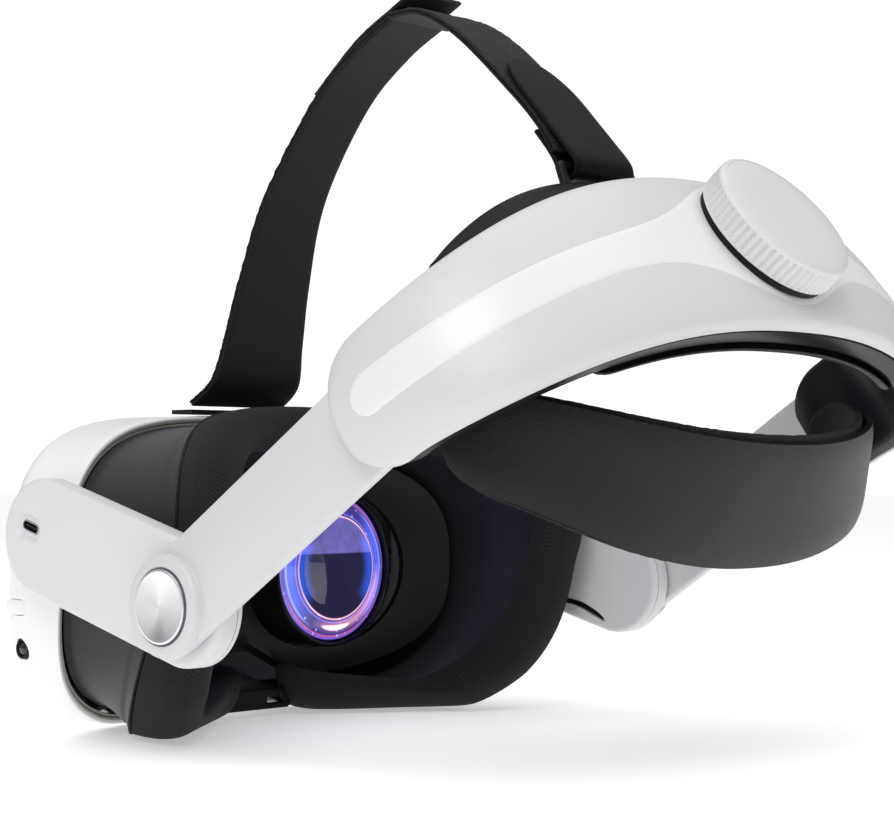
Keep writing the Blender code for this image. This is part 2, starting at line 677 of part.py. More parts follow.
def make_housing():
    middle, normal, width = knob_frame()
    ends = [1.98, 1.9, 1.75, 1.5, 1.25, 1.0]
    stations = [-t for t in ends] + spread(-0.94, 0.94, 25) + ends[::-1]
    cover = add_part("housing_cover", loft([band_ring(t, cover_section) for t in stations]),
                     "rear_housing", WHITE, 0.4)
    cut(cover, "rear_housing", [("shaft_hole", disc(4.2, -5, 15, middle, normal))])
    stations = [-1.3, -1.0] + spread(-0.94, 0.94, 21) + [1.0, 1.3]
    add_part("housing_inner", loft([band_ring(t, inner_section) for t in stations]), "rear_housing",
             BLACK, 0.4)
    stations = [-1.35, -1.2, -1.0] + spread(-0.95, 0.95, 31) + [1.0, 1.2, 1.35]
    inlay = add_part("housing_inlay", loft([band_ring(t, inlay_section) for t in stations]),
                     "rear_housing", WHITE, 0.25)
    cut(inlay, "rear_housing", [("inlay_hole", disc(4.2, -5, 15, middle, normal))])
    add_part("rear_liner", loft([band_ring(t, liner_section) for t in spread(-0.5, 0.5, 13)]),
             "rear_housing", BLACK, 0.5)
    add_part("detent_spring", turned([(9.5, 1.2), (11, 1.2), (11, 2.4), (9.5, 2.4)], middle, normal, 20,
                                     looped=True), "rear_housing", LIGHT_GREY, 0.3, 1.0)


def make_knob():
    middle, normal, width = knob_frame()
    frame = normal.to_track_quat("Z", "Y").to_matrix()

    def ribbed(radius, height):
        ring = []
        for step in range(KNOB_RIBS * 2):
            angle = math.pi * step / KNOB_RIBS
            reach = radius - (0.5 if step % 2 else 0)
            ring.append(middle + frame @ Vector((reach * math.cos(angle), reach * math.sin(angle), height)))
        return ring

    def plain(radius, height):
        ring = []
        for step in range(KNOB_RIBS * 2):
            angle = math.pi * step / KNOB_RIBS
            ring.append(middle + frame @ Vector((radius * math.cos(angle), radius * math.sin(angle), height)))
        return ring

    add_part("knob_ring", loft([ribbed(KNOB_R, KNOB_BASE), ribbed(KNOB_R, KNOB_FACE - 1),
                                plain(KNOB_R - 1.4, KNOB_FACE), plain(KNOB_R - 1.4, KNOB_BASE)],
                               looped=True), "knob", WHITE, 0.4, smooth=False)
    add_part("knob_cap", turned([(0, KNOB_BASE + 1), (KNOB_R - 1.7, KNOB_BASE + 1), (KNOB_R - 1.7, KNOB_FACE),
                                 (14, KNOB_FACE + 0.3), (0, KNOB_FACE + 0.5)], middle, normal, 36),
             "knob", WHITE, 0.4)
    def geared(height, tip, root):
        ring = []
        for step in range(PINION_TEETH * 4):
            angle = 2 * math.pi * (step - 2.5) / (PINION_TEETH * 4) + math.pi / 2
            reach = root if step % 4 in (2, 3) else tip
            ring.append(middle + frame @ Vector((reach * math.cos(angle), reach * math.sin(angle), height)))
        return ring

    rings = [geared(-4.8, PINION_TIP_R, PINION_ROOT_R), geared(-1.2, PINION_TIP_R, PINION_ROOT_R),
             geared(-1.2, PINION_SHAFT_R, PINION_SHAFT_R),
             geared(KNOB_BASE + 0.6, PINION_SHAFT_R, PINION_SHAFT_R)]
    add_part("knob_pinion", loft(rings), "knob", LIGHT_GREY, 0.4)


def make_rack(side, label):
    """A flexible toothed strip from the strap arm's tail to the pinion."""
    pitch = 2 * math.pi * PINION_PITCH_R / PINION_TEETH
    places = [(x, RACK_ROOT) for x in spread(97.5, 3.5 * pitch, 16)]
    for tooth in range(3, -10, -1):
        middle = tooth * pitch
        places += [(middle + 0.8, RACK_ROOT), (middle + 0.25, RACK_TIP), (middle - 0.25, RACK_TIP),
                   (middle - 0.8, RACK_ROOT)]
    rings = []
    for x, near in places:
        middle, normal, width, half = band_station(side * station_at(x))
        rings.append([middle + normal * n + width * side * w
                      for n, w in ((-4.2, near), (-2.2, near), (-2.2, RACK_BACK), (-4.2, RACK_BACK))])
    add_part("rack_" + label, loft(rings), label + "_strap_arm", LIGHT_GREY, 0.5)


# ---------------------------------------------------------------- lower band

def low_station(t):
    def centre(value):
        angle = (1 - abs(value)) * math.pi / 2
        x = LOW_HALF_WIDTH * abs(math.cos(angle)) ** (2 / 2.4)
        y = LOW_END[0] + LOW_DEPTH * abs(math.sin(angle)) ** (2 / 2.4)
        z = LOW_REAR_Z + (LOW_END[1] - LOW_REAR_Z) * (x / LOW_HALF_WIDTH) ** 2.2
        return Vector((math.copysign(x, value), y, z))

    middle = centre(t)
    rearness = 1 - (middle.x / LOW_HALF_WIDTH) ** 2
    lean = math.radians(25 * rearness)
    width = Vector((0, math.sin(lean), math.cos(lean)))
    step = 0.01
    low = max(-0.999, t - step)
    high = min(0.999, t + step)
    tangent = (centre(high) - centre(low)).normalized()
    normal = tangent.cross(width).normalized()
    if normal.dot(Vector((middle.x, middle.y - 60, 0))) < 0:
        normal.negate()
    tapering = max(0, 1 - (LOW_TIP - abs(t)) / LOW_TAPER)
    half = (12.5 + 5.5 * rearness) * (0.3 + 0.7 * math.sqrt(1 - min(1, tapering) ** 2))
    return middle, normal, width, half


def low_ring(t, outer, inner, extra):
    middle, normal, width, half = low_station(t)
    wide = half + extra
    section = ((outer - 0.8, -wide), (outer, -wide * 0.6), (outer, wide * 0.6), (outer - 0.8, wide),
               (inner, wide), (inner, -wide))
    return [middle + normal * n + width * w for n, w in section]


def make_lower_band():
    stations = spread(-LOW_TIP, LOW_TIP, 41)
    add_part("lower_band", loft([low_ring(t, 1.6, -1.4, 0) for t in stations]), "rear_housing", BLACK, 0.5)
    add_part("band_foam", loft([low_ring(t, -1.9, -5.0, 1) for t in stations]), "rear_housing", BLACK, 0.95)


# ---------------------------------------------------------------- crown flap and top strap

def make_crown_flap():
    rings = []
    for t in spread(-0.72, 0.72, 21):
        middle, normal, width, half = band_station(t)
        base = middle + width * (half - 3) - normal * 8.6
        x = base.x * 0.97
        share = min(1.0, abs(x) / 88)
        edge = Vector((x, 70 + 13 * share ** 2, 116 - 30 * share ** 2))
        face = (edge - base).cross(Vector((1, 0, 0))).normalized() * 1.2
        rings.append([base + face, edge + face, edge - face, base - face])
    add_part("crown_flap", loft(rings), "rear_housing", BLACK, 0.5)
    outer = ((-17, -5), (17, -5), (17, 5), (-17, 5))
    inner = ((-13.8, -2), (13.8, -2), (13.8, 2), (-13.8, 2))
    up = Vector((0, -0.35, 0.94)).normalized()
    out = Vector((0, 0.94, 0.35))
    centre = Vector((0, *BUCKLE))
    rings = []
    for index in range(4):
        a = centre + Vector((outer[index][0], 0, 0)) + up * outer[index][1]
        b = centre + Vector((inner[index][0], 0, 0)) + up * inner[index][1]
        rings.append([a - out * 1.3, a + out * 1.3, b + out * 1.3, b - out * 1.3])
    add_part("strap_buckle", loft(rings, looped=True), "rear_housing", BLACK, 0.35)


def smooth_path(points, count):
    """Points read from a smooth curve through the given Y and Z pairs."""
    path = []
    padded = [points[0]] + list(points) + [points[-1]]
    for index in range(count):
        place = index / (count - 1) * (len(points) - 1)
        piece = min(int(place), len(points) - 2)
        u = place - piece
        a, b, c, d = (Vector((0, *padded[piece + k])) for k in range(4))
        path.append(0.5 * ((2 * b) + (c - a) * u + (2 * a - 5 * b + 4 * c - d) * u * u
                           + (3 * b - a - 3 * c + d) * u ** 3))
    return path


def strap_shape(path, half_at, thick):
    """A flat strap along a path. half_at gives its half-width at a share of the way."""
    rings = []
    for index, point in enumerate(path):
        before = path[max(0, index - 1)]
        after = path[min(len(path) - 1, index + 1)]
        out = Vector((1, 0, 0)).cross(after - before).normalized() * thick / 2
        half = Vector((half_at(index / (len(path) - 1)), 0, 0))
        rings.append([point - half - out, point + half - out, point + half + out, point - half + out])
    return loft(rings)


def front_half(share):
    """The front strap is widest at its foot, and narrows towards the top."""
    narrowed = min(1, max(0, (share - 0.33) / 0.39))
    return (FRONT_HALF + FRONT_BASE_EXTRA * math.exp(-(share / 0.28) ** 2)
            - NARROWING * narrowed ** 2 * (3 - 2 * narrowed))


def make_top_strap():
    add_part("top_strap_front", strap_shape(smooth_path(FRONT_STRAP, 22), front_half, STRAP_THICK),
             "headset", BLACK, 0.8)
    rear = strap_shape(smooth_path(REAR_STRAP, 18), lambda share: REAR_HALF, STRAP_THICK)
    add_part("top_strap_rear", rear, "rear_housing", BLACK, 0.8)
    tab = strap_shape(smooth_path(TAB_STRAP, 31), lambda share: REAR_HALF - 0.5, TAB_THICK)
    add_part("strap_tab", tab, "rear_housing", BLACK, 0.5)


def main():
    clear_scene()
    add_body("headset", (0, 0, 0))
    add_body("facial_interface", (0, -60, 5), "headset")
    add_body("left_eye", (EYE_X, -80, EYE_Z), "headset")
    add_body("right_eye", (-EYE_X, -80, EYE_Z), "headset")
    add_body("spacing_wheel", WHEEL, "headset")
    add_body("power_button", (88, -87, -4.4), "headset")
    add_body("volume_rocker", (-40, -102, 54), "headset")
    add_body("left_temple", (0, *TEMPLE_PIN), "headset")
    add_body("right_temple", (0, *TEMPLE_PIN), "headset")
    add_body("left_strap_arm", (0, 0, 0), "left_temple")
    add_body("rear_housing", (0, 0, 0), "left_strap_arm")
    add_body("right_strap_arm", (0, 0, 0), "rear_housing")
    add_body("knob", knob_frame()[0], "rear_housing")

    make_visor()
    make_facial_interface()
    make_eyes()
    for side, label in ((1, "left"), (-1, "right")):
        make_temple(side, label)
        make_strap_arm(side, label)
        make_rack(side, label)
    make_ports()
    make_housing()
    make_knob()
    make_lower_band()
    make_crown_flap()
    make_top_strap()


main()
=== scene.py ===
"""Looks for the virtual reality headset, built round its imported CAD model.

Shapes are worked out in millimetres in the hub frame, as in the CAD source: the origin lies
midway between the strap hubs, +X is the wearer's left, +Y is behind the eyes and +Z is up.
"""
import json
import math

import bmesh
import bpy
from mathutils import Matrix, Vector, noise

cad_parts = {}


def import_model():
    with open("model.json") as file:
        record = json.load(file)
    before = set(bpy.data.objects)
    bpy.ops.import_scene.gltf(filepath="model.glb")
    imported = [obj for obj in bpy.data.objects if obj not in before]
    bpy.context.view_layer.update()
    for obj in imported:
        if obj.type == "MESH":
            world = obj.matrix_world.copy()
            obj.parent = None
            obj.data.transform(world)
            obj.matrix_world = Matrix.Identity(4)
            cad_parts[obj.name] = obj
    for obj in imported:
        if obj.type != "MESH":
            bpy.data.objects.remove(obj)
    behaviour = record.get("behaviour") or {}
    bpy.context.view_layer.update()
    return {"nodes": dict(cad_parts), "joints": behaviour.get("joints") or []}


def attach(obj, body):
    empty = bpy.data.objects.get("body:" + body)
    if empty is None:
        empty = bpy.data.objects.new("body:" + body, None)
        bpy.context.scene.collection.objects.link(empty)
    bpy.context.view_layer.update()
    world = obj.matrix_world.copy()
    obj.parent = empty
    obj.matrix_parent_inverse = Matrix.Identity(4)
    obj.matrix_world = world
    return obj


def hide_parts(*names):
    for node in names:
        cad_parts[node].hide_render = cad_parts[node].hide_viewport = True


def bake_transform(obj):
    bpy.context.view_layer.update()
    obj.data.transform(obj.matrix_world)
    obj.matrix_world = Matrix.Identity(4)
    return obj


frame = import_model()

MM = 0.001
HUB = Vector(next(j for j in frame["joints"] if j["name"] == "left_hub_turn")["pos_m"])
FLOOR_Z = -HUB.z / MM

# ---- dimensions

SHELL_HALF_WIDTH = 88.5
SHELL_UP = 49.0
SHELL_DOWN = 52.0
SHELL_WALL = 2.2
SHELL_POWER = 2.9
VISOR_Z = 5.4
RIM_Y = -92.0
FRONT_Y = -128.0
CORNER_DEPTH = 16.0
CORNER_INSET = 26.0
WRAP = 0.0036
RIM_LEAN = 0.147
FACE_Y = -60.0
FACE_WRAP = 0.0059
CHEEK_LEAN = 0.46
CHEEK_TOP_Z = 15.0
SLEEVE_DEPTH = 11.0
FACE_OUTLINE = (82.0, 50.0, 59.0, 7.0, -42.3, 3.1)
NOSE_GAP = 13.5
CUSHION_END = 5.0     # radius of its rounded ends at the nose
CUSHION_THICK = 15.0
CHEEK_THICK = 9.0     # added at the cheeks
NOSE_HALF = 15.0
WINDOW_Z = 20.0
EYE_X = 32.0
EYE_Z = 4.0
BARREL_R = 26.4
LENS_R = 24.6
WHEEL = Vector((40, -110.5, -35))
SIDE_CAMERA = (-87, -17)              # Y and Z, as for the next one
BUTTON = ((-90, -4.4), (-84, -4.4))
ROCKER = ((-46, -101), (-34, -103))   # X and Y
TEMPLE_IN = 89.2
TEMPLE_OUT = 97.5
TEMPLE_R = 17.0
TEMPLE_FRONT = (-63.4, 17.2)
TEMPLE_PIN = (-69.0, 18.8)
PORT = (-68.3, 20.05)
PORT_HALF = 2.4       # half the distance between the centres of its round ends
PORT_SLOPE = math.atan2(-1.3, 4.6)
AUDIO_JACK = (-96, -68, 20)
SLIT = [(-30, -8.4), (-19, -7.2), (-9, -10.6), (-4, -13.4)]
ARM_SLOPE = math.radians(33.2)
ARM_IN = 97.9
ARM_OUT = 101.6
ARM_HALF = 13.6
ARM_LENGTH = 115.0
BOSS_R = 14.0
BOSS_OUT = 104.2
CAP_R = 10.2
CAP_OUT = 104.9
BAND_HALF_WIDTH = 102.0
BAND_END = (83.0, 55.0)
BAND_DEPTH = 32.5
BAND_RISE = 19.3
BAND_END_R = 18.0
BAND_EXTRA_UP = 6.5
BAND_EXTRA_DOWN = 10.5
BAND_POWER = 2.8
BAND_CROWN = 7.0
BAND_STEPS = 2000     # places for which lengths along the band are worked out
INLAY_HALF = 5.6
INLAY_FLARE = 17.0    # added at the knob
INLAY_TIP = 6.5
LINER_REACH = 74.0
KNOB_R = 21.5
KNOB_RIBS = 60
KNOB_BASE = 8.6
KNOB_FACE = 17.0
LOW_HALF_WIDTH = 83.0
LOW_END = (81.0, 44.5)
LOW_DEPTH = 43.0
LOW_REAR_Z = 27.0
LOW_TIP = 0.97
LOW_TAPER = 0.20
FLAP_SPAN = 0.72
FRONT_HALF = 15.0
REAR_HALF = 13.5
FRONT_STRAP = [(-87, 58.2), (-78, 65), (-74, 78), (-69, 97), (-59, 124), (-38, 152),
               (-20, 166), (-5, 173.5)]
REAR_STRAP = [(-4.5, 173.5), (8, 173), (24, 164), (45, 145), (55, 134.5), (60.6, 126)]
TAB_STRAP = [(37.2, 156.2), (46.6, 146.8), (56.4, 136.2), (62.6, 129.5), (66.6, 125.1),
             (68.2, 122.4), (68.1, 119.8), (66.2, 118.1), (63.8, 118.1), (62.1, 120.2),
             (60.8, 123.3), (58.0, 127.4), (53.6, 132.6)]
TAIL = [(-38, 153.4), (-20, 167.5), (-5, 175.2), (3.5, 179.3)]
NARROWING = 3.6
BUCKLE = (66.3, 118.0)
SIDES = ((1, "left"), (-1, "right"))
DARK_SPECULAR = 0.22


# ---- node materials

class Look:
    """A material being built, with short calls for its nodes."""

    def __init__(self, name, colour, rough, metallic=0.0):
        self.made = bpy.data.materials.new(name)
        self.made.use_nodes = True
        self.tree = self.made.node_tree
        self.shader = self.tree.nodes["Principled BSDF"]
        self.set("Base Color", (*colour, 1))
        self.set("Roughness", rough)
        self.set("Metallic", metallic)
        if max(colour) < 0.05:
            self.set("Specular IOR Level", DARK_SPECULAR)
        self.colour = colour
        self.rough = rough
        self.height = None

    def set(self, socket, value):
        self.shader.inputs[socket].default_value = value

    def link(self, source, target):
        self.tree.links.new(source, target)

    def node(self, kind, **settings):
        made = self.tree.nodes.new(kind)
        for key, value in settings.items():
            setattr(made, key, value)
        return made

    def place(self, kind="Object", scale=(1, 1, 1), turn=0.0):
        coords = self.node("ShaderNodeTexCoord")
        mapping = self.node("ShaderNodeMapping")
        mapping.inputs["Scale"].default_value = scale
        mapping.inputs["Rotation"].default_value = (0, 0, turn)
        self.link(coords.outputs[kind], mapping.inputs["Vector"])
        return mapping.outputs["Vector"]

    def noise(self, vector, scale, detail=3.0, rough=0.5):
        made = self.node("ShaderNodeTexNoise")
        self.link(vector, made.inputs["Vector"])
        made.inputs["Scale"].default_value = scale
        made.inputs["Detail"].default_value = detail
        made.inputs["Roughness"].default_value = rough
        return made.outputs["Fac"]

    def voronoi(self, vector, scale, feature="F1"):
        made = self.node("ShaderNodeTexVoronoi", feature=feature)
        self.link(vector, made.inputs["Vector"])
        made.inputs["Scale"].default_value = scale
        return made.outputs["Distance"]

    def wave(self, vector, scale, direction="X"):
        made = self.node("ShaderNodeTexWave", bands_direction=direction)
        self.link(vector, made.inputs["Vector"])
        made.inputs["Scale"].default_value = scale
        return made.outputs["Fac"]

    def math(self, operation, *values):
        made = self.node("ShaderNodeMath", operation=operation)
        for value, socket in zip(values, made.inputs):
            if isinstance(value, (int, float)):
                socket.default_value = value
            else:
                self.link(value, socket)
        return made.outputs[0]

    def times(self, first, second):
        return self.math("MULTIPLY", first, second)

    def ramp(self, factor, stops):
        made = self.node("ShaderNodeValToRGB")
        points = made.color_ramp.elements
        while len(points) < len(stops):
            points.new(0.5)
        for point, (position, colour) in zip(points, stops):
            point.position = position
            point.color = (*colour, 1)
        self.link(factor, made.inputs["Fac"])
        return made.outputs["Color"]

    def vary_colour(self, factor, low, high, start=0.25, end=0.75):
        """The colour times low where the factor is at the start, and times high at its end."""
        stops = [(start, [c * low for c in self.colour]), (end, [c * high for c in self.colour])]
        self.link(self.ramp(factor, stops), self.shader.inputs["Base Color"])

    def vary_rough(self, factor, spread):
        made = self.node("ShaderNodeMapRange")
        self.link(factor, made.inputs["Value"])
        made.inputs["To Min"].default_value = self.rough - spread
        made.inputs["To Max"].default_value = self.rough + spread
        self.link(made.outputs["Result"], self.shader.inputs["Roughness"])

    def peak(self, value, centre, width):
        """1 where the value is at the centre, falling away smoothly within the width."""
        off = self.math("DIVIDE", self.math("SUBTRACT", value, centre), width)
        return self.math("EXPONENT", self.times(self.times(off, off), -1.0))

    def step(self, value, edge, width):
        """0 below the edge and 1 above it."""
        made = self.node("ShaderNodeMapRange", interpolation_type="SMOOTHSTEP")
        self.link(value, made.inputs["Value"])
        made.inputs["From Min"].default_value = edge - width
        made.inputs["From Max"].default_value = edge + width
        return made.outputs["Result"]

    def glow(self, total, colour, amount):
        """Adds a colour, times an amount, to the painted glow so far."""
        scaled = self.node("ShaderNodeVectorMath", operation="SCALE")
        scaled.inputs[0].default_value = colour
        self.link(amount, scaled.inputs["Scale"])
        if total is None:
            return scaled.outputs[0]
        added = self.node("ShaderNodeVectorMath", operation="ADD")
        self.link(total, added.inputs[0])
        self.link(scaled.outputs[0], added.inputs[1])
        return added.outputs[0]

    def bump(self, height, strength, distance=0.0002):
        made = self.node("ShaderNodeBump")
        made.inputs["Strength"].default_value = strength
        made.inputs["Distance"].default_value = distance
        self.link(height, made.inputs["Height"])
        if self.height is not None:
            self.link(self.height, made.inputs["Normal"])
        self.height = made.outputs["Normal"]
        self.link(self.height, self.shader.inputs["Normal"])


def moulded(name, colour, rough, grain, coat=0.0, specular=None):
    """Moulded plastic: a faint spark-eroded grain and slow variation in gloss and colour."""
    look = Look(name, colour, rough)
    place = look.place()
    look.vary_colour(look.noise(place, 18, 2), 0.985, 1.01)
    look.vary_rough(look.noise(place, 70, 4), 0.05)
    look.bump(look.noise(place, 2600, 3, 0.6), grain, 0.00008)
    look.set("Coat Weight", coat)
    look.set("Coat Roughness", 0.12)
    if specular is not None:
        look.set("Specular IOR Level", specular)
    return look.made


def knit_look(name, colour):
    """Warp-knit spacer fabric: fine rows of stitches with small openings between them."""
    look = Look(name, colour, 0.82)
    rising = look.wave(look.place("UV", (1, 1, 1), math.radians(32)), 400)
    falling = look.wave(look.place("UV", (1, 1, 1), math.radians(-32)), 400)
    mesh = look.math("MAXIMUM", rising, falling)
    fibre = look.noise(look.place("UV"), 3600, 3, 0.65)
    height = look.math("ADD", mesh, look.times(fibre, 0.3))
    # painted shade and highlight: the colour follows the stitch height, darker in the openings
    # between stitches and lighter on their tops
    look.vary_colour(height, 0.25, 1.9, 0.50, 1.0)
    look.bump(look.noise(look.place("UV"), 60, 2), 0.2, 0.0006)
    look.bump(height, 0.8, 0.00022)
    look.set("Sheen Weight", 0.04)
    look.set("Sheen Roughness", 0.4)
    return look.made


def leather_look(name, colour, rough, cell, strength):
    """Pebbled leatherette: rounded grains of uneven size with fine pores."""
    look = Look(name, colour, rough)
    place = look.place()
    grains = look.voronoi(place, cell, "SMOOTH_F1")
    creases = look.voronoi(place, cell, "DISTANCE_TO_EDGE")
    pores = look.noise(place, cell * 4, 3, 0.6)
    edges = look.math("MINIMUM", look.times(creases, 3.0), 0.4)
    height = look.math("ADD", look.times(grains, -0.8),
                       look.math("ADD", look.times(pores, 0.25), edges))
    look.vary_colour(look.noise(place, 40, 3), 0.8, 1.25)
    look.vary_rough(look.noise(place, 900, 3), 0.07)
    look.bump(height, strength, 0.00022)
    look.set("Specular IOR Level", 0.28)
    return look.made


def weave_look(name, colour, fuzz=0.0):
    """Webbing in UV metres: a tight flat weave, or with fuzz a napped loop face."""
    look = Look(name, colour, 0.62 + 0.25 * fuzz)
    ribs = look.wave(look.place("UV"), 420, "Y")
    threads = look.wave(look.place("UV"), 520, "X")
    fibre = look.noise(look.place("UV", (1, 1.8, 1)), 2600, 5, 0.72)
    tufts = look.noise(look.place("UV"), 900, 3, 0.6)
    cloth = look.times(ribs, threads)
    nap = look.math("ADD", look.times(fibre, 0.6), look.times(tufts, 0.5))
    height = look.math("ADD", look.times(cloth, 0.35 * (1 - fuzz)),
                       look.times(nap, 0.3 + 0.7 * fuzz))
    # painted shade: the colour follows the weave's height, darker down between threads and lighter
    # on the raised nap
    look.vary_colour(height, 0.85 - 0.5 * fuzz, 1.1 + 0.9 * fuzz, 0.2, 0.8)
    look.bump(height, 0.18 + 0.7 * fuzz, 0.0001 + 0.0003 * fuzz)
    look.set("Sheen Weight", 0.02 + 0.05 * fuzz)
    look.set("Sheen Roughness", 0.5)
    return look.made


def metal_look(name, colour, rough, turned=False):
    look = Look(name, colour, rough, 1.0)
    place = look.place()
    look.vary_rough(look.noise(place, 900, 4), 0.06)
    look.bump(look.noise(place, 5000, 2), 0.05, 0.00004)
    if turned:
        look.set("Anisotropic", 0.85)
        tangent = look.node("ShaderNodeTangent", direction_type="RADIAL", axis="X")
        look.link(tangent.outputs["Tangent"], look.shader.inputs["Tangent"])
    return look.made


WHITE = moulded("white_satin", (0.68, 0.68, 0.695), 0.34, 0.10)
WHITE_SHELL = moulded("white_shell", (0.95, 0.95, 0.955), 0.32, 0.08)
WHITE_GLOSS = moulded("white_gloss", (0.85, 0.85, 0.855), 0.30, 0.02)
WHITE_KNOB = moulded("white_knob", (0.72, 0.72, 0.73), 0.42, 0.12)
PALE = moulded("pale_satin", (0.74, 0.74, 0.755), 0.36, 0.12)
CHARCOAL = moulded("charcoal_soft", (0.030, 0.030, 0.034), 0.42, 0.25, specular=0.3)
BLACK = moulded("black_satin", (0.008, 0.008, 0.009), 0.34, 0.12)
BLACK_MATTE = moulded("black_matte", (0.006, 0.006, 0.007), 0.6, 0.3)
RUBBER = moulded("black_rubber", (0.0052, 0.0056, 0.0055), 0.5, 0.2, specular=0.1)
BEIGE = moulded("warm_lip", (0.56, 0.51, 0.45), 0.4, 0.1)
KNIT = knit_look("black_knit", (0.0105, 0.0105, 0.012))
PEBBLE = leather_look("pebbled_leather", (0.008, 0.0085, 0.009), 0.36, 2300, 0.55)
PADDED = leather_look("padded_leather", (0.009, 0.009, 0.010), 0.38, 1100, 0.3)
FOAM = weave_look("napped_foam", (0.010, 0.010, 0.011), 1.0)
WEBBING = weave_look("strap_webbing", (0.0125, 0.0125, 0.016))
LOOPS = weave_look("loop_face", (0.012, 0.012, 0.015), 1.0)
DISC = metal_look("turned_disc", (0.86, 0.86, 0.88), 0.30, True)
STEEL = metal_look("steel", (0.60, 0.60, 0.62), 0.28)
DARK_RING = moulded("dark_ring", (0.10, 0.10, 0.11), 0.4, 0.1)
NYLON = moulded("nylon", (0.48, 0.48, 0.50), 0.5, 0.2)
BOARD = moulded("green_board", (0.01, 0.09, 0.04), 0.45, 0.2)
CELL = moulded("wrapped_cell", (0.35, 0.35, 0.38), 0.3, 0.05)
WINDOW = moulded("dark_window", (0.006, 0.006, 0.008), 0.06, 0.0, 1.0)


# ---- mesh building

def world(point):
    return HUB + Vector(point) * MM


def build(name, points, faces, look, body, uvs, sharp):
    """A smooth-shaded piece from hub-frame points in millimetres, riding on a body."""
    mesh = bpy.data.meshes.new(name)
    mesh.from_pydata([world(p) for p in points], [], faces)
    mesh.update()
    layer = mesh.uv_layers.new(name="flat")
    for loop in mesh.loops:
        layer.data[loop.index].uv = uvs[loop.vertex_index]
    mesh.shade_smooth()
    if sharp:
        mesh.set_sharp_from_angle(angle=math.radians(sharp))
    mesh.materials.append(look)
    piece = bpy.data.objects.new(name, mesh)
    bpy.context.scene.collection.objects.link(piece)
    fix = bmesh.new()
    fix.from_mesh(mesh)
    bmesh.ops.recalc_face_normals(fix, faces=fix.faces)
    fix.to_mesh(mesh)
    fix.free()
    if body:
        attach(piece, body)
    return piece


def skin(name, rings, look, body, looped=False, closed=True, caps=True, sharp=40.0):
    """A surface through rings of equally many points. UVs are lengths in metres."""
    count = len(rings[0])
    points = [Vector(p) for ring in rings for p in ring]
    faces = []
    rows = len(rings) if looped else len(rings) - 1
    columns = count if closed else count - 1
    for row in range(rows):
        base = row * count
        after = ((row + 1) % len(rings)) * count
        for column in range(columns):
            side = (column + 1) % count
            faces.append((base + column, base + side, after + side, after + column))
    if caps and closed and not looped:
        faces.append(tuple(range(count)))
        faces.append(tuple(range((len(rings) - 1) * count, len(rings) * count)))
    uvs = []
    along = [0.0] * count
    for row, ring in enumerate(rings):
        around = 0.0
        for column in range(count):
            here = points[row * count + column]
            if column:
                around += (here - points[row * count + column - 1]).length
            if row:
                along[column] += (here - points[(row - 1) * count + column]).length
            uvs.append((around * MM, along[column] * MM))
    return build(name, points, faces, look, body, uvs, sharp)


def stand_in(piece, slot, *nodes):
    """Hides the CAD nodes that a piece stands for. The piece and its finish, given as the slot, are
    not used.
    """
    if nodes:
        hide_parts(*nodes)


def turned(name, profile, centre, axis, look, body, steps, looped=False, ribs=None, sharp=40.0):
    """A turned piece: the profile holds radius and height along the axis."""
    spin = Vector(axis).normalized().to_track_quat("Z", "Y").to_matrix()
    rings = []
    for radius, height in profile:
        ring = []
        for step in range(steps):
            angle = 2 * math.pi * step / steps
            reach = max(radius, 0.001)
            if ribs:
                reach -= ribs(angle, height)
            spoke = Vector((reach * math.cos(angle), reach * math.sin(angle), height))
            ring.append(Vector(centre) + spin @ spoke)
        rings.append(ring)
    return skin(name, rings, look, body, looped=looped, caps=not looped, sharp=sharp)


def offsets(radius, height, steps):
    """Part of a profile, given as steps from a radius and a height."""
    return [(radius + step, height + rise) for step, rise in steps]


def bore(name, radius, centre, look):
    """A round cutter along X."""
    return turned(name, [(radius, -9), (radius, 9)], centre, (1, 0, 0), look, None, 48)


def pill(first, second, radius, steps):
    """Outline round two centres in a plane, as pairs of coordinates."""
    along = math.atan2(second[1] - first[1], second[0] - first[0])
    outline = []
    for centre, start in ((first, along + math.pi / 2), (second, along - math.pi / 2)):
        for step in range(steps + 1):
            angle = start + math.pi * step / steps
            outline.append((centre[0] + radius * math.cos(angle),
                            centre[1] + radius * math.sin(angle)))
    return outline


def flat(across, place, pairs):
    """Points of a flat outline that lies across an axis, at a place on it."""
    index = "xyz".index(across)
    return [Vector((*pair[:index], place, *pair[index:])) for pair in pairs]


def pill_slab(name, ends, steps, look, body, across="x", count=24, **options):
    """A piece through pill outlines; each step holds the radius and the place across."""
    rings = [flat(across, place, pill(*ends, radius, count)) for radius, place in steps]
    return skin(name, rings, look, body, **options)


def rounded_box(x, z, half_x, half_z, radius):
    """Outline of a rectangle with round corners, as pairs of coordinates."""
    loop = []
    for sx, sz, start in ((1, 1, 0), (-1, 1, 90), (-1, -1, 180), (1, -1, 270)):
        for step in range(7):
            angle = math.radians(start + 90 * step / 6)
            loop.append((x + sx * (half_x - radius) + radius * math.cos(angle),
                         z + sz * (half_z - radius) + radius * math.sin(angle)))
    return loop


def ring_plate(name, outer, inner, centre, up, out, half_thick, look, body):
    """A flat plate with one opening and soft edges; its outlines hold X and height."""
    rings = []
    for (ox, oz), (ix, iz) in zip(outer, inner):
        a = centre + Vector((ox, 0, 0)) + up * oz
        b = centre + Vector((ix, 0, 0)) + up * iz
        ring = []
        for step in range(16):
            angle = 2 * math.pi * step / 16
            share = 0.5 + 0.5 * power(math.cos(angle), 0.7)
            ring.append(a.lerp(b, share) + out * half_thick * power(math.sin(angle), 0.7))
        rings.append(ring)
    return skin(name, rings, look, body, looped=True)


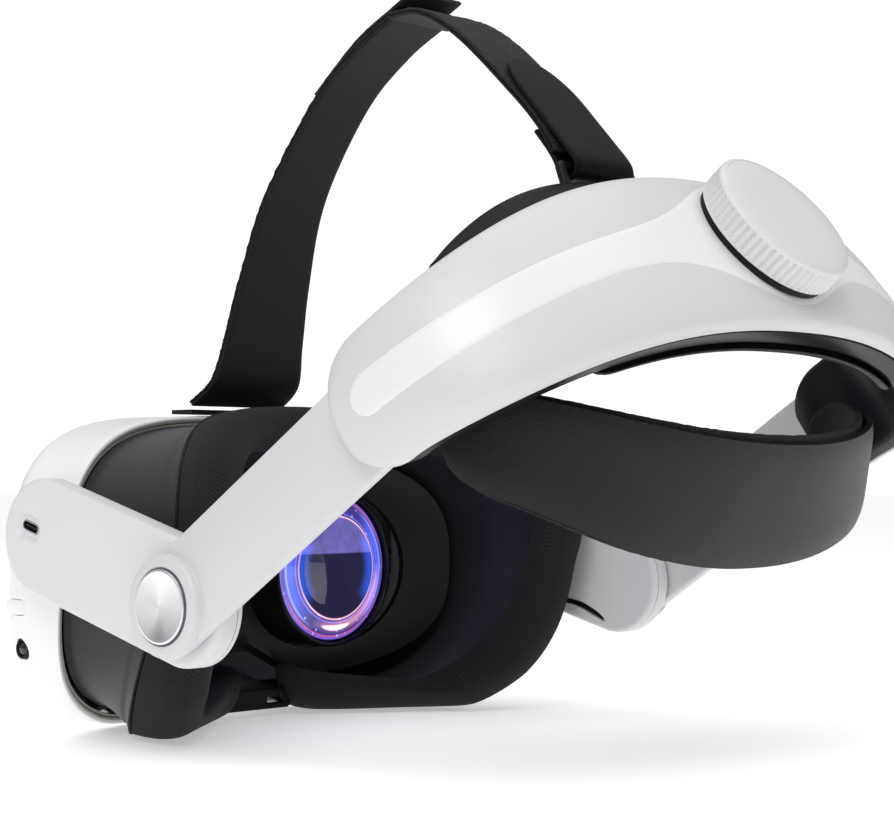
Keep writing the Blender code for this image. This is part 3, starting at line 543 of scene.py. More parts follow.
def carve(piece, cutters):
    """Cut pieces out of a piece and remove them."""
    for tool in cutters:
        change = piece.modifiers.new("cut", "BOOLEAN")
        change.object = tool
        change.operation = "DIFFERENCE"
        change.solver = "EXACT"
    graph = bpy.context.evaluated_depsgraph_get()
    mesh = bpy.data.meshes.new_from_object(piece.evaluated_get(graph))
    piece.modifiers.clear()
    piece.data = mesh
    for tool in cutters:
        bpy.data.objects.remove(tool)
    piece.data.shade_smooth()
    piece.data.set_sharp_from_angle(angle=math.radians(30))


def curve_point(a, b, c, d, u):
    """A point on the smooth curve between b and c."""
    return 0.5 * ((2 * b) + (c - a) * u + (2 * a - 5 * b + 4 * c - d) * u * u
                  + (3 * b - a - 3 * c + d) * u ** 3)


def rounded(corners, samples):
    """A smooth closed loop through the corners."""
    loop = []
    count = len(corners)
    for index in range(count):
        four = [corners[(index + k - 1) % count] for k in range(4)]
        loop += [curve_point(*four, step / samples) for step in range(samples)]
    return loop


def smooth_path(points, count):
    """Points read from a smooth curve through the given Y and Z pairs."""
    path = []
    padded = [points[0]] + list(points) + [points[-1]]
    for index in range(count):
        place = index / (count - 1) * (len(points) - 1)
        piece = min(int(place), len(points) - 2)
        four = [Vector((0, *padded[piece + k])) for k in range(4)]
        path.append(curve_point(*four, place - piece))
    return path


def spread(low, high, count):
    return [low + (high - low) * index / (count - 1) for index in range(count)]


def power(value, exponent):
    return math.copysign(abs(value) ** exponent, value)


def soft_max(value, floor, width):
    above = (value - floor) / width
    return value if above > 30 else floor + width * math.log1p(math.exp(above))


# ---- visor

def outline_point(angle, half_width, up, down, arch, floor=FLOOR_Z, squareness=SHELL_POWER):
    """A point of the visor's outline, flat on the floor and arched over the nose."""
    x = half_width * power(math.cos(angle), 2 / squareness)
    rise = power(math.sin(angle), 2 / squareness)
    z = VISOR_Z + (up if rise > 0 else down) * rise
    if rise < 0:
        z = soft_max(z, floor, 0.7) + arch * math.exp(-(x / NOSE_HALF) ** 2) * min(1, -2 * rise)
    return x, z


def running_lengths(points):
    lengths = [0.0]
    for first, second in zip(points, points[1:]):
        lengths.append(lengths[-1] + math.dist(first, second))
    return lengths


def even_angles(count, *shape):
    """Angles that place points evenly along the outline."""
    fine = [2 * math.pi * step / 6000 for step in range(6001)]
    lengths = running_lengths([outline_point(angle, *shape) for angle in fine])
    angles = []
    place = 0
    for index in range(count):
        target = lengths[-1] * index / count
        while lengths[place + 1] < target:
            place += 1
        angles.append(fine[place])
    return angles


ANGLES = even_angles(260, SHELL_HALF_WIDTH, SHELL_UP, SHELL_DOWN, 20.0)


def visor_outline(*shape):
    return [outline_point(angle, *shape) for angle in ANGLES]


def rim_y(x, z):
    return RIM_Y + WRAP * x * x + RIM_LEAN * (z - VISOR_Z)


def shell_outline(inset, flatten=0.0):
    sizes = (SHELL_HALF_WIDTH - inset, SHELL_UP - inset, SHELL_DOWN - inset)
    return visor_outline(*sizes, 8 * (1 - flatten), FLOOR_Z + inset)


def rim_rings(steps):
    """Rings that follow the shell's rim, from pairs of inset and distance behind it."""
    return [[Vector((x, rim_y(x, z) + back, z)) for x, z in shell_outline(inset)]
            for inset, back in steps]


def shell_skin(inset):
    """Rings from the rim forwards, round the front corner and across the face."""
    rings = []
    outline = shell_outline(inset)
    shoulder = FRONT_Y + inset + CORNER_DEPTH
    for share in spread(0, 1, 8)[1:]:
        ring = []
        for x, z in outline:
            y = (rim_y(x, z) - 1) * (1 - share) + (shoulder + WRAP * x * x) * share
            ring.append(Vector((x, y, z)))
        rings.append(ring)
    for step in range(1, 15):
        turn = math.pi / 2 * step / 14
        outline = shell_outline(inset + CORNER_INSET * (1 - math.cos(turn)), math.sin(turn))
        y = shoulder - CORNER_DEPTH * math.sin(turn)
        rings.append([Vector((x, y + WRAP * x * x, z)) for x, z in outline])
    last = rings[-1]
    for scale in (0.9, 0.78, 0.64, 0.5, 0.36, 0.22, 0.1, 0.01):
        rings.append([Vector((p.x * scale, FRONT_Y + inset + WRAP * (p.x * scale) ** 2,
                              VISOR_Z + (p.z - VISOR_Z) * scale)) for p in last])
    return rings


def window_shape(half_length, radius, depth_from, depth_to):
    """Sections of the long front window, which follows the shell's curve."""
    turns = [math.radians(turn) for turn in range(0, 87, 6)]
    ends = [(half_length + radius * math.sin(turn), radius * math.cos(turn)) for turn in turns]
    right_half = [(half_length * share, radius) for share in spread(0, 0.95, 14)] + ends
    rings = []
    for x, tall in [(-x, tall) for x, tall in right_half[:0:-1]] + right_half:
        near, far = (FRONT_Y + depth + WRAP * x * x for depth in (depth_from, depth_to))
        rings.append([Vector((x, y, WINDOW_Z + z)) for y, z in (
            (near, -tall), (near, tall), (far, tall), (far, -tall))])
    return rings


def make_shell():
    rim = rim_rings(((SHELL_WALL, -1.2), (1.9, -0.4), (1.3, 0), (0.8, 0), (0.25, -0.35), (0, -1)))
    shell = skin("shell", shell_skin(SHELL_WALL)[::-1] + rim + shell_skin(0), WHITE_SHELL, "headset",
                 sharp=50)
    tools = [skin("cut_window", window_shape(40.4, 6.4, -3, 5), WHITE, None),
             pill_slab("cut_button", BUTTON, [(2.45, 78), (2.45, 92)], WHITE, None),
             pill_slab("cut_rocker", ROCKER, [(2.55, 46), (2.55, 60)], WHITE, None, across="z"),
             pill_slab("cut_wheel", ((WHEEL.x, -117), (WHEEL.x, -104)), [(2.5, -50), (2.5, -26)],
                       WHITE, None, across="z")]
    for side in (1, -1):
        tools.append(bore("cut_camera", 3.3, (side * 84, *SIDE_CAMERA), WHITE))
        tools.append(bore("cut_pin", 3.4, (side * 86, *TEMPLE_PIN), WHITE))
    carve(shell, tools)
    stand_in(shell, "white_plastic", "front_shell")

    lip = rim_rings(((2.35, -6), (2.35, -0.9), (2.6, -0.5), (3.0, -0.5), (3.2, -0.9), (3.2, -6)))
    stand_in(skin("rim_lip", lip, BEIGE, "headset", looped=True), "white_plastic")
    glass = skin("front_window", window_shape(40, 6, 0.2, 1.8), WINDOW, "headset", sharp=50)
    stand_in(glass, "window_plastic", "sensor_window")

    bezel_profile = [(3.1, 0), (3.1, 4.0), (2.9, 4.25), (2.5, 4.3), (2.2, 3.9), (2.2, 0)]
    eye_profile = [(0, 1.5), (2.15, 1.5), (2.15, 3.5), (1.8, 3.9), (1.2, 4.15), (0.6, 4.28),
                   (0, 4.32)]
    for side, label in SIDES:
        seat = (side * 81.5, *SIDE_CAMERA)
        bezel = turned("side_bezel_" + label, bezel_profile, seat, (side, 0, 0), BLACK, "headset",
                       64, looped=True)
        stand_in(bezel, "black_plastic")
        eye = turned("side_lens_" + label, eye_profile, seat, (side, 0, 0), WINDOW, "headset", 64)
        stand_in(eye, "camera_glass", "side_camera_" + label)
    button = pill_slab("side_button", BUTTON, [(2.25, 84), (2.25, 87.7), (2.1, 87.95), (1.8, 88.05)],
                       WHITE_SHELL, "power_button", sharp=50)
    stand_in(button, "white_gloss", "power_button")
    rocker = pill_slab("top_rocker", ROCKER, [(2.2, 49), (2.2, 53.4), (2.0, 53.75), (1.6, 53.9)],
                       WHITE_SHELL, "volume_rocker", across="z", sharp=50)
    stand_in(rocker, "white_gloss", "volume_rocker")

    def treads(angle, height):
        return 0.25 * (0.5 + 0.5 * math.cos(28 * angle))

    tyre = [(1.2, -2), (5.6, -2), (6, -1.6), (6, 1.6), (5.6, 2), (1.2, 2)]
    wheel = turned("thumb_wheel", tyre, WHEEL, (1, 0, 0), BLACK_MATTE, "spacing_wheel", 168,
                   looped=True, ribs=treads)
    stand_in(wheel, "black_plastic", "spacing_wheel")


make_shell()


# ---- facial interface

def face_y(x, z):
    return FACE_Y + FACE_WRAP * x * x - CHEEK_LEAN * soft_max(CHEEK_TOP_Z - z, 0, 2.0)


def cushion_stations():
    """Places along the cushion from one side of the nose gap to the other, with the size of each
    section: full size except at the two rounded ends."""
    half_width, squareness = FACE_OUTLINE[0], FACE_OUTLINE[5]
    gap = math.asin((NOSE_GAP / half_width) ** (squareness / 2))
    turns = spread(gap, 2 * math.pi - gap, 4001)
    fine = [outline_point(turn - math.pi / 2, *FACE_OUTLINE) for turn in turns]
    lengths = running_lengths(fine)
    total = lengths[-1]
    ends = [CUSHION_END * (1 - math.cos(math.pi / 2 * step / 10)) for step in range(10)]
    wanted = ends + spread(CUSHION_END, total - CUSHION_END, 236)
    wanted += [total - near for near in ends[::-1]]
    stations = []
    place = 0
    for target in wanted:
        while place < len(fine) - 1 and lengths[place] < target:
            place += 1
        near = min(1.0, min(target, total - target) / CUSHION_END)
        stations.append((*fine[place], math.sqrt(max(0.002, 1 - (1 - near) ** 2))))
    return stations


def to_middle(x, z):
    """Direction in the plane of the face from a point to the middle of the visor."""
    return Vector((-x, 0, VISOR_Z - z)).normalized()


def make_spacer():
    sleeve = visor_outline(81.8, 43, 44, 9, -38.0)
    flange = visor_outline(85.6, 46, 47, 9, -40.6)
    rear = visor_outline(*FACE_OUTLINE)
    columns = []
    for (sleeve_x, sleeve_z), (flange_x, flange_z), (rear_x, rear_z) in zip(sleeve, flange, rear):
        rim = rim_y(flange_x, flange_z)
        foot = Vector((sleeve_x, rim - SLEEVE_DEPTH, sleeve_z))
        lip = Vector((flange_x, rim + 0.3, flange_z))
        edge = Vector((rear_x, face_y(rear_x, rear_z), rear_z))
        outside, inside = [], []
        for share in spread(0.03, 1.0, 26):
            middle = lip.lerp(edge, share)
            inward = to_middle(middle.x, middle.z)
            dip = 2.1 * math.sin(math.pi * share) ** 0.8
            dip += 0.55 * math.exp(-((share - 0.86) / 0.035) ** 2)
            dip += 0.5 * max(0, (0.1 - share) / 0.1) ** 2
            outside.append(middle + inward * dip)
            inside.append(middle + inward * (dip + 3.0 - 0.4 * share))
        columns.append([foot, Vector((sleeve_x, rim + 0.3, sleeve_z)), lip] + outside + inside[::-1]
                       + [foot + (inside[0] - outside[0]) * 0.8])
    shell = skin("spacer", columns, CHARCOAL, "facial_interface", looped=True, sharp=55)
    stand_in(shell, "charcoal_plastic", "spacer_frame")


def make_cushion():
    back = Vector((0, 1, 0))
    rings, seam = [], []
    for x, z, scale in cushion_stations():
        base = Vector((x, face_y(x, z) + 0.7, z))
        low = min(1, max(0, (8 - z) / 40))
        thick = CUSHION_THICK + CHEEK_THICK * low
        thick *= 1 - 0.42 * low * math.exp(-((abs(x) - NOSE_GAP) / 24) ** 2)
        inward = to_middle(x, z)
        corners = [base + inward * 0.5, base - inward * 0.9 + back * thick * 0.22,
                   base - inward * 1.2 + back * thick * 0.6,
                   base + inward * 0.9 + back * thick * 0.9,
                   base + inward * 4.6 + back * thick, base + inward * 9 + back * (thick - 0.2),
                   base + inward * 12.6 + back * (thick * 0.84),
                   base + inward * 14.6 + back * thick * 0.5,
                   base + inward * 13.2 + back * thick * 0.12, base + inward * 7 + back * 0.2]
        ring = rounded(corners, 5)
        middle = base + inward * 6.8 + back * thick * 0.5
        for point in ring:
            swell = noise.noise(point * 0.045) * 0.5
            point += inward * swell * -0.6 + back * swell * 0.4
            point += (middle - point) * (1 - scale)
            point.z = soft_max(point.z, FLOOR_Z + 0.4, 0.5)
        rings.append(ring)

        centre = Vector((x, face_y(x, z) + 0.35, z)) + inward * 0.1
        centre.z = max(centre.z, FLOOR_Z + 1.2)
        seam.append([centre + inward * (0.7 * scale * math.cos(a))
                     + Vector((0, 0.7 * scale * math.sin(a), 0))
                     for a in [2 * math.pi * k / 8 for k in range(8)]])
    pad = skin("cushion", rings, KNIT, "facial_interface", sharp=0)
    stand_in(pad, "knit_cushion", "face_cushion")
    stand_in(skin("cushion_seam", seam, BLACK_MATTE, "facial_interface"), "black_plastic")


def make_shroud():
    outline = visor_outline(77, 39, 38, 10, -34)

    def sheet(y0):
        rings = []
        for scale in (0.02, 0.25, 0.5, 0.75, 0.9, 0.97, 1.0):
            bent = 1.5 * max(0, scale - 0.9) / 0.1
            rings.append([Vector((x * scale, y0 + WRAP * (x * scale) ** 2 + bent,
                                  VISOR_Z + (z - VISOR_Z) * scale)) for x, z in outline])
        return rings

    wall = skin("shroud", sheet(-88) + sheet(-86)[::-1], BLACK, "headset", sharp=50)
    tools = []
    for side in (1, -1):
        low, high = sorted((side * (EYE_X - 2.5), side * (EYE_X + 4.0)))
        steps = [(BARREL_R + 0.5, -95), (BARREL_R + 0.5, -60)]
        tools.append(pill_slab("cut_eye", ((low, EYE_Z), (high, EYE_Z)), steps, BLACK, None,
                               across="y", count=40))
    carve(wall, tools)
    stand_in(wall, "black_plastic", "inner_shroud")


make_spacer()
make_cushion()
nose_flap = ring_plate("nose_flap", rounded_box(0, 0, 15.5, 3.5, 1.2),
                       rounded_box(-9.0, -0.3, 3.4, 1.1, 0.4), Vector((0, -78.0, FLOOR_Z + 5.6)),
                       Vector((0, 0.12, 0.99)), Vector((0, 0.99, -0.12)), 0.7, RUBBER,
                       "facial_interface")
stand_in(nose_flap, "black_plastic")
make_shroud()


# ---- lenses

def make_lens_material(side, label):
    """A moulded lens with painted light: its emission stands in for the display's light behind it,
    as rings, side glows, sparkles and a lit upper part, with a painted white reflection low down.
    The pattern is worked out round the lens's centre, in shares of its radius."""
    look = Look("lens_" + label, (0.006, 0.005, 0.016), 0.04)
    times, step, peak = look.times, look.step, look.peak
    coords = look.node("ShaderNodeTexCoord")
    move = look.node("ShaderNodeVectorMath", operation="SUBTRACT")
    look.link(coords.outputs["Object"], move.inputs[0])
    move.inputs[1].default_value = world((side * EYE_X, -80, EYE_Z))
    apart = look.node("ShaderNodeSeparateXYZ")
    look.link(move.outputs[0], apart.inputs[0])
    across = times(apart.outputs["X"], side / (LENS_R * MM))
    above = times(apart.outputs["Z"], 1 / (LENS_R * MM))
    below = times(above, -1)
    radius = look.math("SQRT", look.math("ADD", times(across, across), times(above, above)))
    inner = look.math("SUBTRACT", 1.0, step(radius, 0.69, 0.008))
    outer = times(step(radius, 0.70, 0.01), look.math("SUBTRACT", 1.0, step(radius, 0.975, 0.015)))
    not_zero = look.math("ADD", radius, 0.001)
    sideways = look.math("ABSOLUTE", look.math("DIVIDE", across, not_zero))
    upward = look.math("ABSOLUTE", look.math("DIVIDE", above, not_zero))
    cloud = look.noise(move.outputs[0], 190, 3, 0.6)
    sparks = look.math("SUBTRACT", 1.0, step(look.voronoi(move.outputs[0], 330), 0.13, 0.07))
    lower_side = step(look.math("SUBTRACT", across, above), 0.55, 0.3)
    thin = peak(radius, 0.70, 0.010)
    # painted reflection: a white curved highlight low on the lens, drawn as emission
    painted_reflection = times(peak(radius, 0.82, 0.035), times(peak(across, 0.02, 0.25), step(below, 0.4, 0.1)))
    # painted light: each colour is emitted where its mask is, as the display's glow, ring
    # highlights, sparkles and the painted reflection
    lights = (
        ((0.20, 0.17, 0.58), times(times(inner, step(above, 0.20, 0.012)),
                                   look.math("ADD", cloud, 0.35))),
        ((0.022, 0.020, 0.06), inner),
        ((0.02, 0.10, 0.75), times(times(inner, step(sideways, 0.80, 0.14)),
                                   step(radius, 0.56, 0.10))),
        ((0.09, 0.07, 0.42), times(outer, look.math("ADD", cloud, 0.3))),
        ((0.07, 0.16, 1.0), times(times(outer, step(sideways, 0.72, 0.22)),
                                  peak(radius, 0.83, 0.09))),
        ((0.40, 0.42, 1.0), times(step(sideways, 0.62, 0.2), peak(radius, 0.885, 0.014))),
        ((0.85, 0.36, 0.30), times(times(lower_side, peak(radius, 0.80, 0.055)),
                                   step(below, 0.1, 0.2))),
        ((0.85, 0.62, 0.95), thin),
        ((0.75, 0.25, 0.05), times(thin, step(upward, 0.55, 0.3))),
        ((0.30, 0.25, 0.85), peak(radius, 0.745, 0.008)),
        ((0.75, 0.12, 0.16), times(peak(radius, 0.935, 0.012), step(upward, 0.45, 0.3))),
        ((0.22, 0.14, 0.72), peak(radius, 0.965, 0.014)),
        ((0.55, 0.55, 1.0), times(sparks, outer)),
        ((1.0, 0.97, 0.98), step(painted_reflection, 0.35, 0.12)))
    total = None
    for colour, amount in lights:
        total = look.glow(total, colour, amount)
    look.link(total, look.shader.inputs["Emission Color"])
    look.set("Emission Strength", 0.85)
    look.set("Specular IOR Level", 0.3)
    look.set("Coat Weight", 1.0)
    look.set("Coat Roughness", 0.02)
    return look.made


def make_eyes():
    bore_r = LENS_R + 0.35
    barrel_profile = [(bore_r, -94), (BARREL_R, -94), (BARREL_R, -74.5), (BARREL_R - 0.15, -73.8),
                      (BARREL_R - 0.5, -73.4), (BARREL_R - 0.9, -73.35), (bore_r + 0.15, -73.7),
                      (bore_r, -74.3)]
    lens_profile = [(0, -83), (12, -82), (LENS_R, -79.5), (LENS_R, -75.8), (LENS_R - 0.4, -75.3),
                    (21, -74.1), (17.8, -73.25), (17.3, -72.95), (16.9, -72.95), (16.5, -73.05),
                    (13, -72.6), (9, -72.15), (5, -71.8), (0, -71.65)]
    for side, label in SIDES:
        body = label + "_eye"
        centre = Vector((side * EYE_X, 0, EYE_Z))
        barrel = turned("barrel_" + label, barrel_profile, centre, (0, 1, 0), BLACK, body, 128,
                        looped=True)
        stand_in(barrel, "black_plastic", "lens_barrel_" + label)
        lens = turned("lens_" + label + "_lit", lens_profile, centre, (0, 1, 0),
                      make_lens_material(side, label), body, 128, sharp=35)
        stand_in(lens, "lens_glass", "lens_" + label)


make_eyes()


# ---- temple arms and strap arms

def bevel_steps(radius, inside, outside, size, count=8):
    """Radius and X pairs for a slab whose outer edge is rounded."""
    steps = [(radius, inside)]
    for index in range(count + 1):
        turn = math.pi / 2 * index / count
        steps.append((radius - size * (1 - math.cos(turn)), outside - size + size * math.sin(turn)))
    return steps


def temple_slab(name, side, steps, body):
    steps = [(radius, side * x) for radius, x in steps]
    return pill_slab(name, (TEMPLE_FRONT, (0, 0)), steps, PALE, body, count=48, sharp=50)


def speaker_slit():
    """Outline of the curved slit, which is thinner towards its ends."""
    path = smooth_path(SLIT, 24)
    above, under = [], []
    for index, point in enumerate(path):
        slim = 1.15 * math.sin(math.pi * (index + 0.6) / 24.2) ** 0.5
        tangent = path[min(23, index + 1)] - path[max(0, index - 1)]
        out = tangent.cross(Vector((1, 0, 0))).normalized()
        above.append(point + out * slim)
        under.append(point - out * slim)
    return [(p.y, p.z) for p in above + under[::-1]]


def make_temples():
    split = TEMPLE_IN + 2.2
    reach = (PORT_HALF * math.cos(PORT_SLOPE), PORT_HALF * math.sin(PORT_SLOPE))
    port = ((PORT[0] - reach[0], PORT[1] - reach[1]), (PORT[0] + reach[0], PORT[1] + reach[1]))
    pin_profile = [(0, 82.5), (3.5, 82.5), (3.8, 82.8), (3.8, 84.3), (3, 84.3), (3, split),
                   (0, split)]
    slit = speaker_slit()
    for side, label in SIDES:
        body = label + "_temple"
        cover = temple_slab("temple_slab_" + label, side,
                            bevel_steps(TEMPLE_R, split + 0.3, TEMPLE_OUT, 2.0), body)
        if side > 0:
            recess = [(2.9, 96.3), (3.3, 97.0), (3.9, 97.6), (3.9, 99)]
            tools = [pill_slab("cut_recess", port, recess, PALE, None, count=20),
                     pill_slab("cut_socket", port, [(1.6, 93), (1.6, 97)], BLACK, None, count=20)]
        else:
            tools = [bore("cut_jack", 3.3, AUDIO_JACK, PALE)]
        carve(cover, tools)
        stand_in(cover, "white_plastic", "temple_cover_" + label)

        inner = temple_slab("temple_back_" + label, -side,
                            bevel_steps(TEMPLE_R, -split, -TEMPLE_IN, 1.6), body)
        carve(inner, [skin("cut_slit", [flat("x", side * x, slit) for x in (88, 91)], BLACK, None),
                      bore("cut_pin", 3.3, (side * TEMPLE_IN, *TEMPLE_PIN), PALE)])
        stand_in(inner, "pale_plastic", "temple_inner_" + label)
        mesh = pill_slab("speaker_mesh_" + label, ((-27, -8), (-8, -11.5)),
                         [(2.6, side * 90.6), (2.6, side * 91.2)], BLACK_MATTE, body, count=12)
        stand_in(mesh, "black_plastic")
        pin = turned("pivot_" + label, pin_profile, (0, *TEMPLE_PIN), (side, 0, 0), STEEL, body, 64)
        stand_in(pin, "steel", "temple_pin_" + label)

    sleeve = [(1.5, 93.2), (1.5, 96.2), (1.45, 96.5), (1.2, 96.5), (1.15, 96.2), (1.15, 93.6)]
    socket = pill_slab("usb_shell", port, sleeve, STEEL, "left_temple", count=20, looped=True)
    stand_in(socket, "steel", "charging_port")
    tongue_ends = ((port[0][0] + 0.2, port[0][1]), (port[1][0] - 0.2, port[1][1]))
    tongue = pill_slab("usb_tongue", tongue_ends, [(0.35, 93.4), (0.35, 96.0)], BLACK,
                       "left_temple", count=8)
    stand_in(tongue, "black_plastic")
    floor = pill_slab("usb_floor", port, [(1.55, 93.0), (1.55, 93.4)], BLACK, "left_temple",
                      count=12)
    stand_in(floor, "black_plastic")
    jack_profile = [(1.75, -1.5), (3, -1.5), (3, 3.5), (2.8, 3.8), (2.1, 3.8), (1.75, 3.5)]
    seat = (AUDIO_JACK[0] + 2.6, *AUDIO_JACK[1:])
    jack = turned("audio_socket", jack_profile, seat, (-1, 0, 0), BLACK, "right_temple", 64,
                  looped=True)
    stand_in(jack, "steel", "audio_jack")


make_temples()


def arm_outline(inset):
    """Outline of a strap arm as Y and Z pairs: round at the hub and square at its far end."""
    half = ARM_HALF - inset
    places = [(ARM_LENGTH - inset, -half), (ARM_LENGTH - inset, half)]
    for step in range(49):
        angle = math.pi / 2 + math.pi * step / 48
        places.append((half * math.cos(angle), half * math.sin(angle)))
    cos, sin = math.cos(ARM_SLOPE), math.sin(ARM_SLOPE)
    return [(far * cos - offset * sin, far * sin + offset * cos) for far, offset in places]


def make_strap_arms():
    steps = [(0.9, ARM_IN), (0.4, ARM_IN + 0.15), (0, ARM_IN + 0.8), (0, ARM_OUT - 1.0),
             (0.12, ARM_OUT - 0.6), (0.4, ARM_OUT - 0.25), (0.9, ARM_OUT)]
    boss_profile = [(5.8, ARM_OUT + 0.05)]
    boss_profile += offsets(BOSS_R, ARM_OUT, [(0.35, 0.02), (0.1, 0.3), (0, 0.7)])
    boss_profile += offsets(BOSS_R, BOSS_OUT, [(-0.1, -1), (-0.5, -0.4), (-1.2, -0.08), (-2, 0)])
    boss_profile += offsets(CAP_R, BOSS_OUT, [(0.55, 0), (0.35, -0.2), (0.3, -0.9)])
    boss_profile.append((5.8, BOSS_OUT - 0.9))
    groove_profile = offsets(CAP_R, BOSS_OUT, [(-0.05, -0.7), (0.32, -0.7), (0.32, 0.05),
                                               (-0.05, 0.05)])
    cap_profile = [(0, CAP_OUT - 1.3), *offsets(CAP_R, CAP_OUT, [
        (-0.1, -1.3), (-0.1, -0.2), (-0.2, 0), (-0.5, 0.08), (-0.9, 0.05), (-1.1, 0)]), (0, CAP_OUT)]
    for side, label in SIDES:
        body = label + "_strap_arm"
        rings = [flat("x", side * x, arm_outline(inset)) for inset, x in steps]
        bar = skin("strap_bar_" + label, rings, WHITE, body, sharp=50)
        stand_in(bar, "white_plastic", "strap_arm_" + label)
        axis = ((0, 0, 0), (side, 0, 0))
        ring = turned("boss_" + label, boss_profile, *axis, WHITE, body, 128, looped=True)
        stand_in(ring, "white_plastic", "hub_boss_" + label)
        groove = turned("cap_groove_" + label, groove_profile, *axis, DARK_RING, body, 128,
                        looped=True)
        stand_in(groove, "black_plastic")
        cap = turned("disc_" + label, cap_profile, *axis, DISC, body, 128, sharp=20)
        stand_in(cap, "brushed_disc", "hub_cap_" + label)


make_strap_arms()


# ---- rear housing

def band_centre(t):
    """Middle line of the band; past its ends it goes on straight."""
    angle = (1 - min(1, abs(t))) * math.pi / 2
    x = BAND_HALF_WIDTH * abs(math.cos(angle)) ** (2 / BAND_POWER)
    y = BAND_END[0] + BAND_DEPTH * abs(math.sin(angle)) ** (2 / BAND_POWER)
    z = BAND_END[1] + 0.62 * (y - BAND_END[0]) + BAND_RISE * (1 - (x / BAND_HALF_WIDTH) ** 2.2)
    point = Vector((math.copysign(x, t), y, z))
    if abs(t) > 1:
        point += Vector((0, -math.cos(ARM_SLOPE), -math.sin(ARM_SLOPE))) * BAND_END_R * (abs(t) - 1)
    return point


def band_table():
    """Lengths from the rear middle along the band, for evenly spaced stations."""
    places = [step / BAND_STEPS for step in range(BAND_STEPS + 1)]
    places += [1 + step / 400 for step in range(1, 401)]
    lengths = [0.0]
    for first, second in zip(places, places[1:]):
        lengths.append(lengths[-1] + (band_centre(second) - band_centre(first)).length)
    return places, lengths


PLACES, LENGTHS = band_table()
BAND_LENGTH = LENGTHS[BAND_STEPS]        # to the start of the rounded end
BAND_TIP = LENGTHS[-1]


def centre_at(length):
    """The middle line at a signed length from the rear middle."""
    size = abs(length)
    low, high = 0, len(LENGTHS) - 1
    while high - low > 1:
        middle = (low + high) // 2
        if LENGTHS[middle] < size:
            low = middle
        else:
            high = middle
    share = (size - LENGTHS[low]) / (LENGTHS[high] - LENGTHS[low])
    place = PLACES[low] + (PLACES[high] - PLACES[low]) * min(1, max(0, share))
    return band_centre(-place if length < 0 else place)


def outward(normal, middle, origin_y):
    """The normal, turned so that it points away from the head."""
    if normal.dot(Vector((middle.x, middle.y - origin_y, 0))) < 0:
        normal.negate()
    return normal


def band_section(middle, tangent):
    """The band's section: its centre, normal, width direction and half-width."""
    rearness = max(0, 1 - (middle.x / BAND_HALF_WIDTH) ** 2)
    tilt = math.radians(34 + 6 * rearness)
    width = Vector((0, -math.sin(tilt), math.cos(tilt)))
    added_up = BAND_EXTRA_UP * rearness
    added_down = BAND_EXTRA_DOWN * math.sqrt(rearness)
    middle = middle + width * (added_up - added_down) / 2
    normal = outward(width.cross(tangent).normalized(), middle, 40)
    return middle, normal, width, BAND_END_R + (added_up + added_down) / 2


def band_at(length):
    """The section at a signed length, with the share of the way past the band's end."""
    side = 1 if length >= 0 else -1
    size = abs(length)
    reach = 3.0
    forward = centre_at(side * min(BAND_TIP, size + reach))
    backward = centre_at(side * (size - reach))
    tangent = (forward - backward).normalized() * side
    middle, normal, width, half = band_section(centre_at(length), tangent)
    beyond = min(1, max(0, (size - BAND_LENGTH) / BAND_END_R))
    return middle, normal, width, half * math.sqrt(max(0.0, 1 - beyond ** 2)), beyond


def crown(share, beyond):
    """Height of the cover at a share of its half-width."""
    tall = BAND_CROWN * max(0.05, 1 - beyond ** 3) ** 0.5
    return tall * max(0.0, 1 - abs(share) ** 2.4) ** 0.27


def band_lengths(step, tip):
    """Signed lengths from one tip to the other, closer together towards the round ends."""
    count = round(BAND_LENGTH / step)
    right = [BAND_LENGTH * index / count for index in range(count + 1)]
    right += [BAND_LENGTH + BAND_END_R * math.sin(math.asin(tip) * index / 18)
              for index in range(1, 19)]
    return [-value for value in right[:0:-1]] + right


def make_cover():
    rings = []
    for length in band_lengths(1.6, 0.9995):
        middle, normal, width, half, beyond = band_at(length)
        half = max(half, 0.05)
        ring = []
        for step in range(49):
            share = math.sin(math.pi / 2 * (step - 24) / 24)
            ring.append(middle + normal * crown(share, beyond) + width * half * share)
        for step in range(25):
            share = 1 - 2 * (step + 0.5) / 25
            if half > 1:
                ring.append(middle + normal * -0.6 + width * (half - 0.8) * share)
            else:
                ring.append(middle + width * half * share)
        rings.append(ring)
    cover = skin("housing_shell", rings, WHITE, "rear_housing", sharp=60)
    stand_in(cover, "white_plastic", "housing_cover")


def make_inlay():
    front = BAND_LENGTH + BAND_END_R * 0.34
    stations = [front - INLAY_TIP * (1 - math.cos(math.pi / 2 * index / 14)) for index in range(15)]
    inner = stations[-1]
    count = round(inner / 1.4)
    lengths = stations[:-1] + [inner * (1 - index / count) for index in range(count + 1)]
    lengths += [-value for value in lengths[-2::-1]]
    rings = []
    for length in lengths:
        middle, normal, width, half, beyond = band_at(length)
        size = abs(length)
        near = max(0.0, (size - (front - INLAY_TIP)) / INLAY_TIP)
        flare = INLAY_HALF + INLAY_FLARE * math.exp(-(size / 27.0) ** 2)
        flare = min(flare * math.sqrt(max(0.0004, 1 - near ** 2)), half - 2.5)
        ring = []
        for step in range(25):
            share = (step - 12) / 12
            offset = flare * share
            lift = 0.28 * (1 - abs(share) ** 10) - 0.06
            ring.append(middle + normal * (crown(offset / half, beyond) + lift) + width * offset)
        rings.append(ring)
    stripe = skin("housing_stripe", rings, WHITE_GLOSS, "rear_housing", closed=False, caps=False,
                  sharp=60)
    stand_in(stripe, "white_gloss", "housing_inlay")


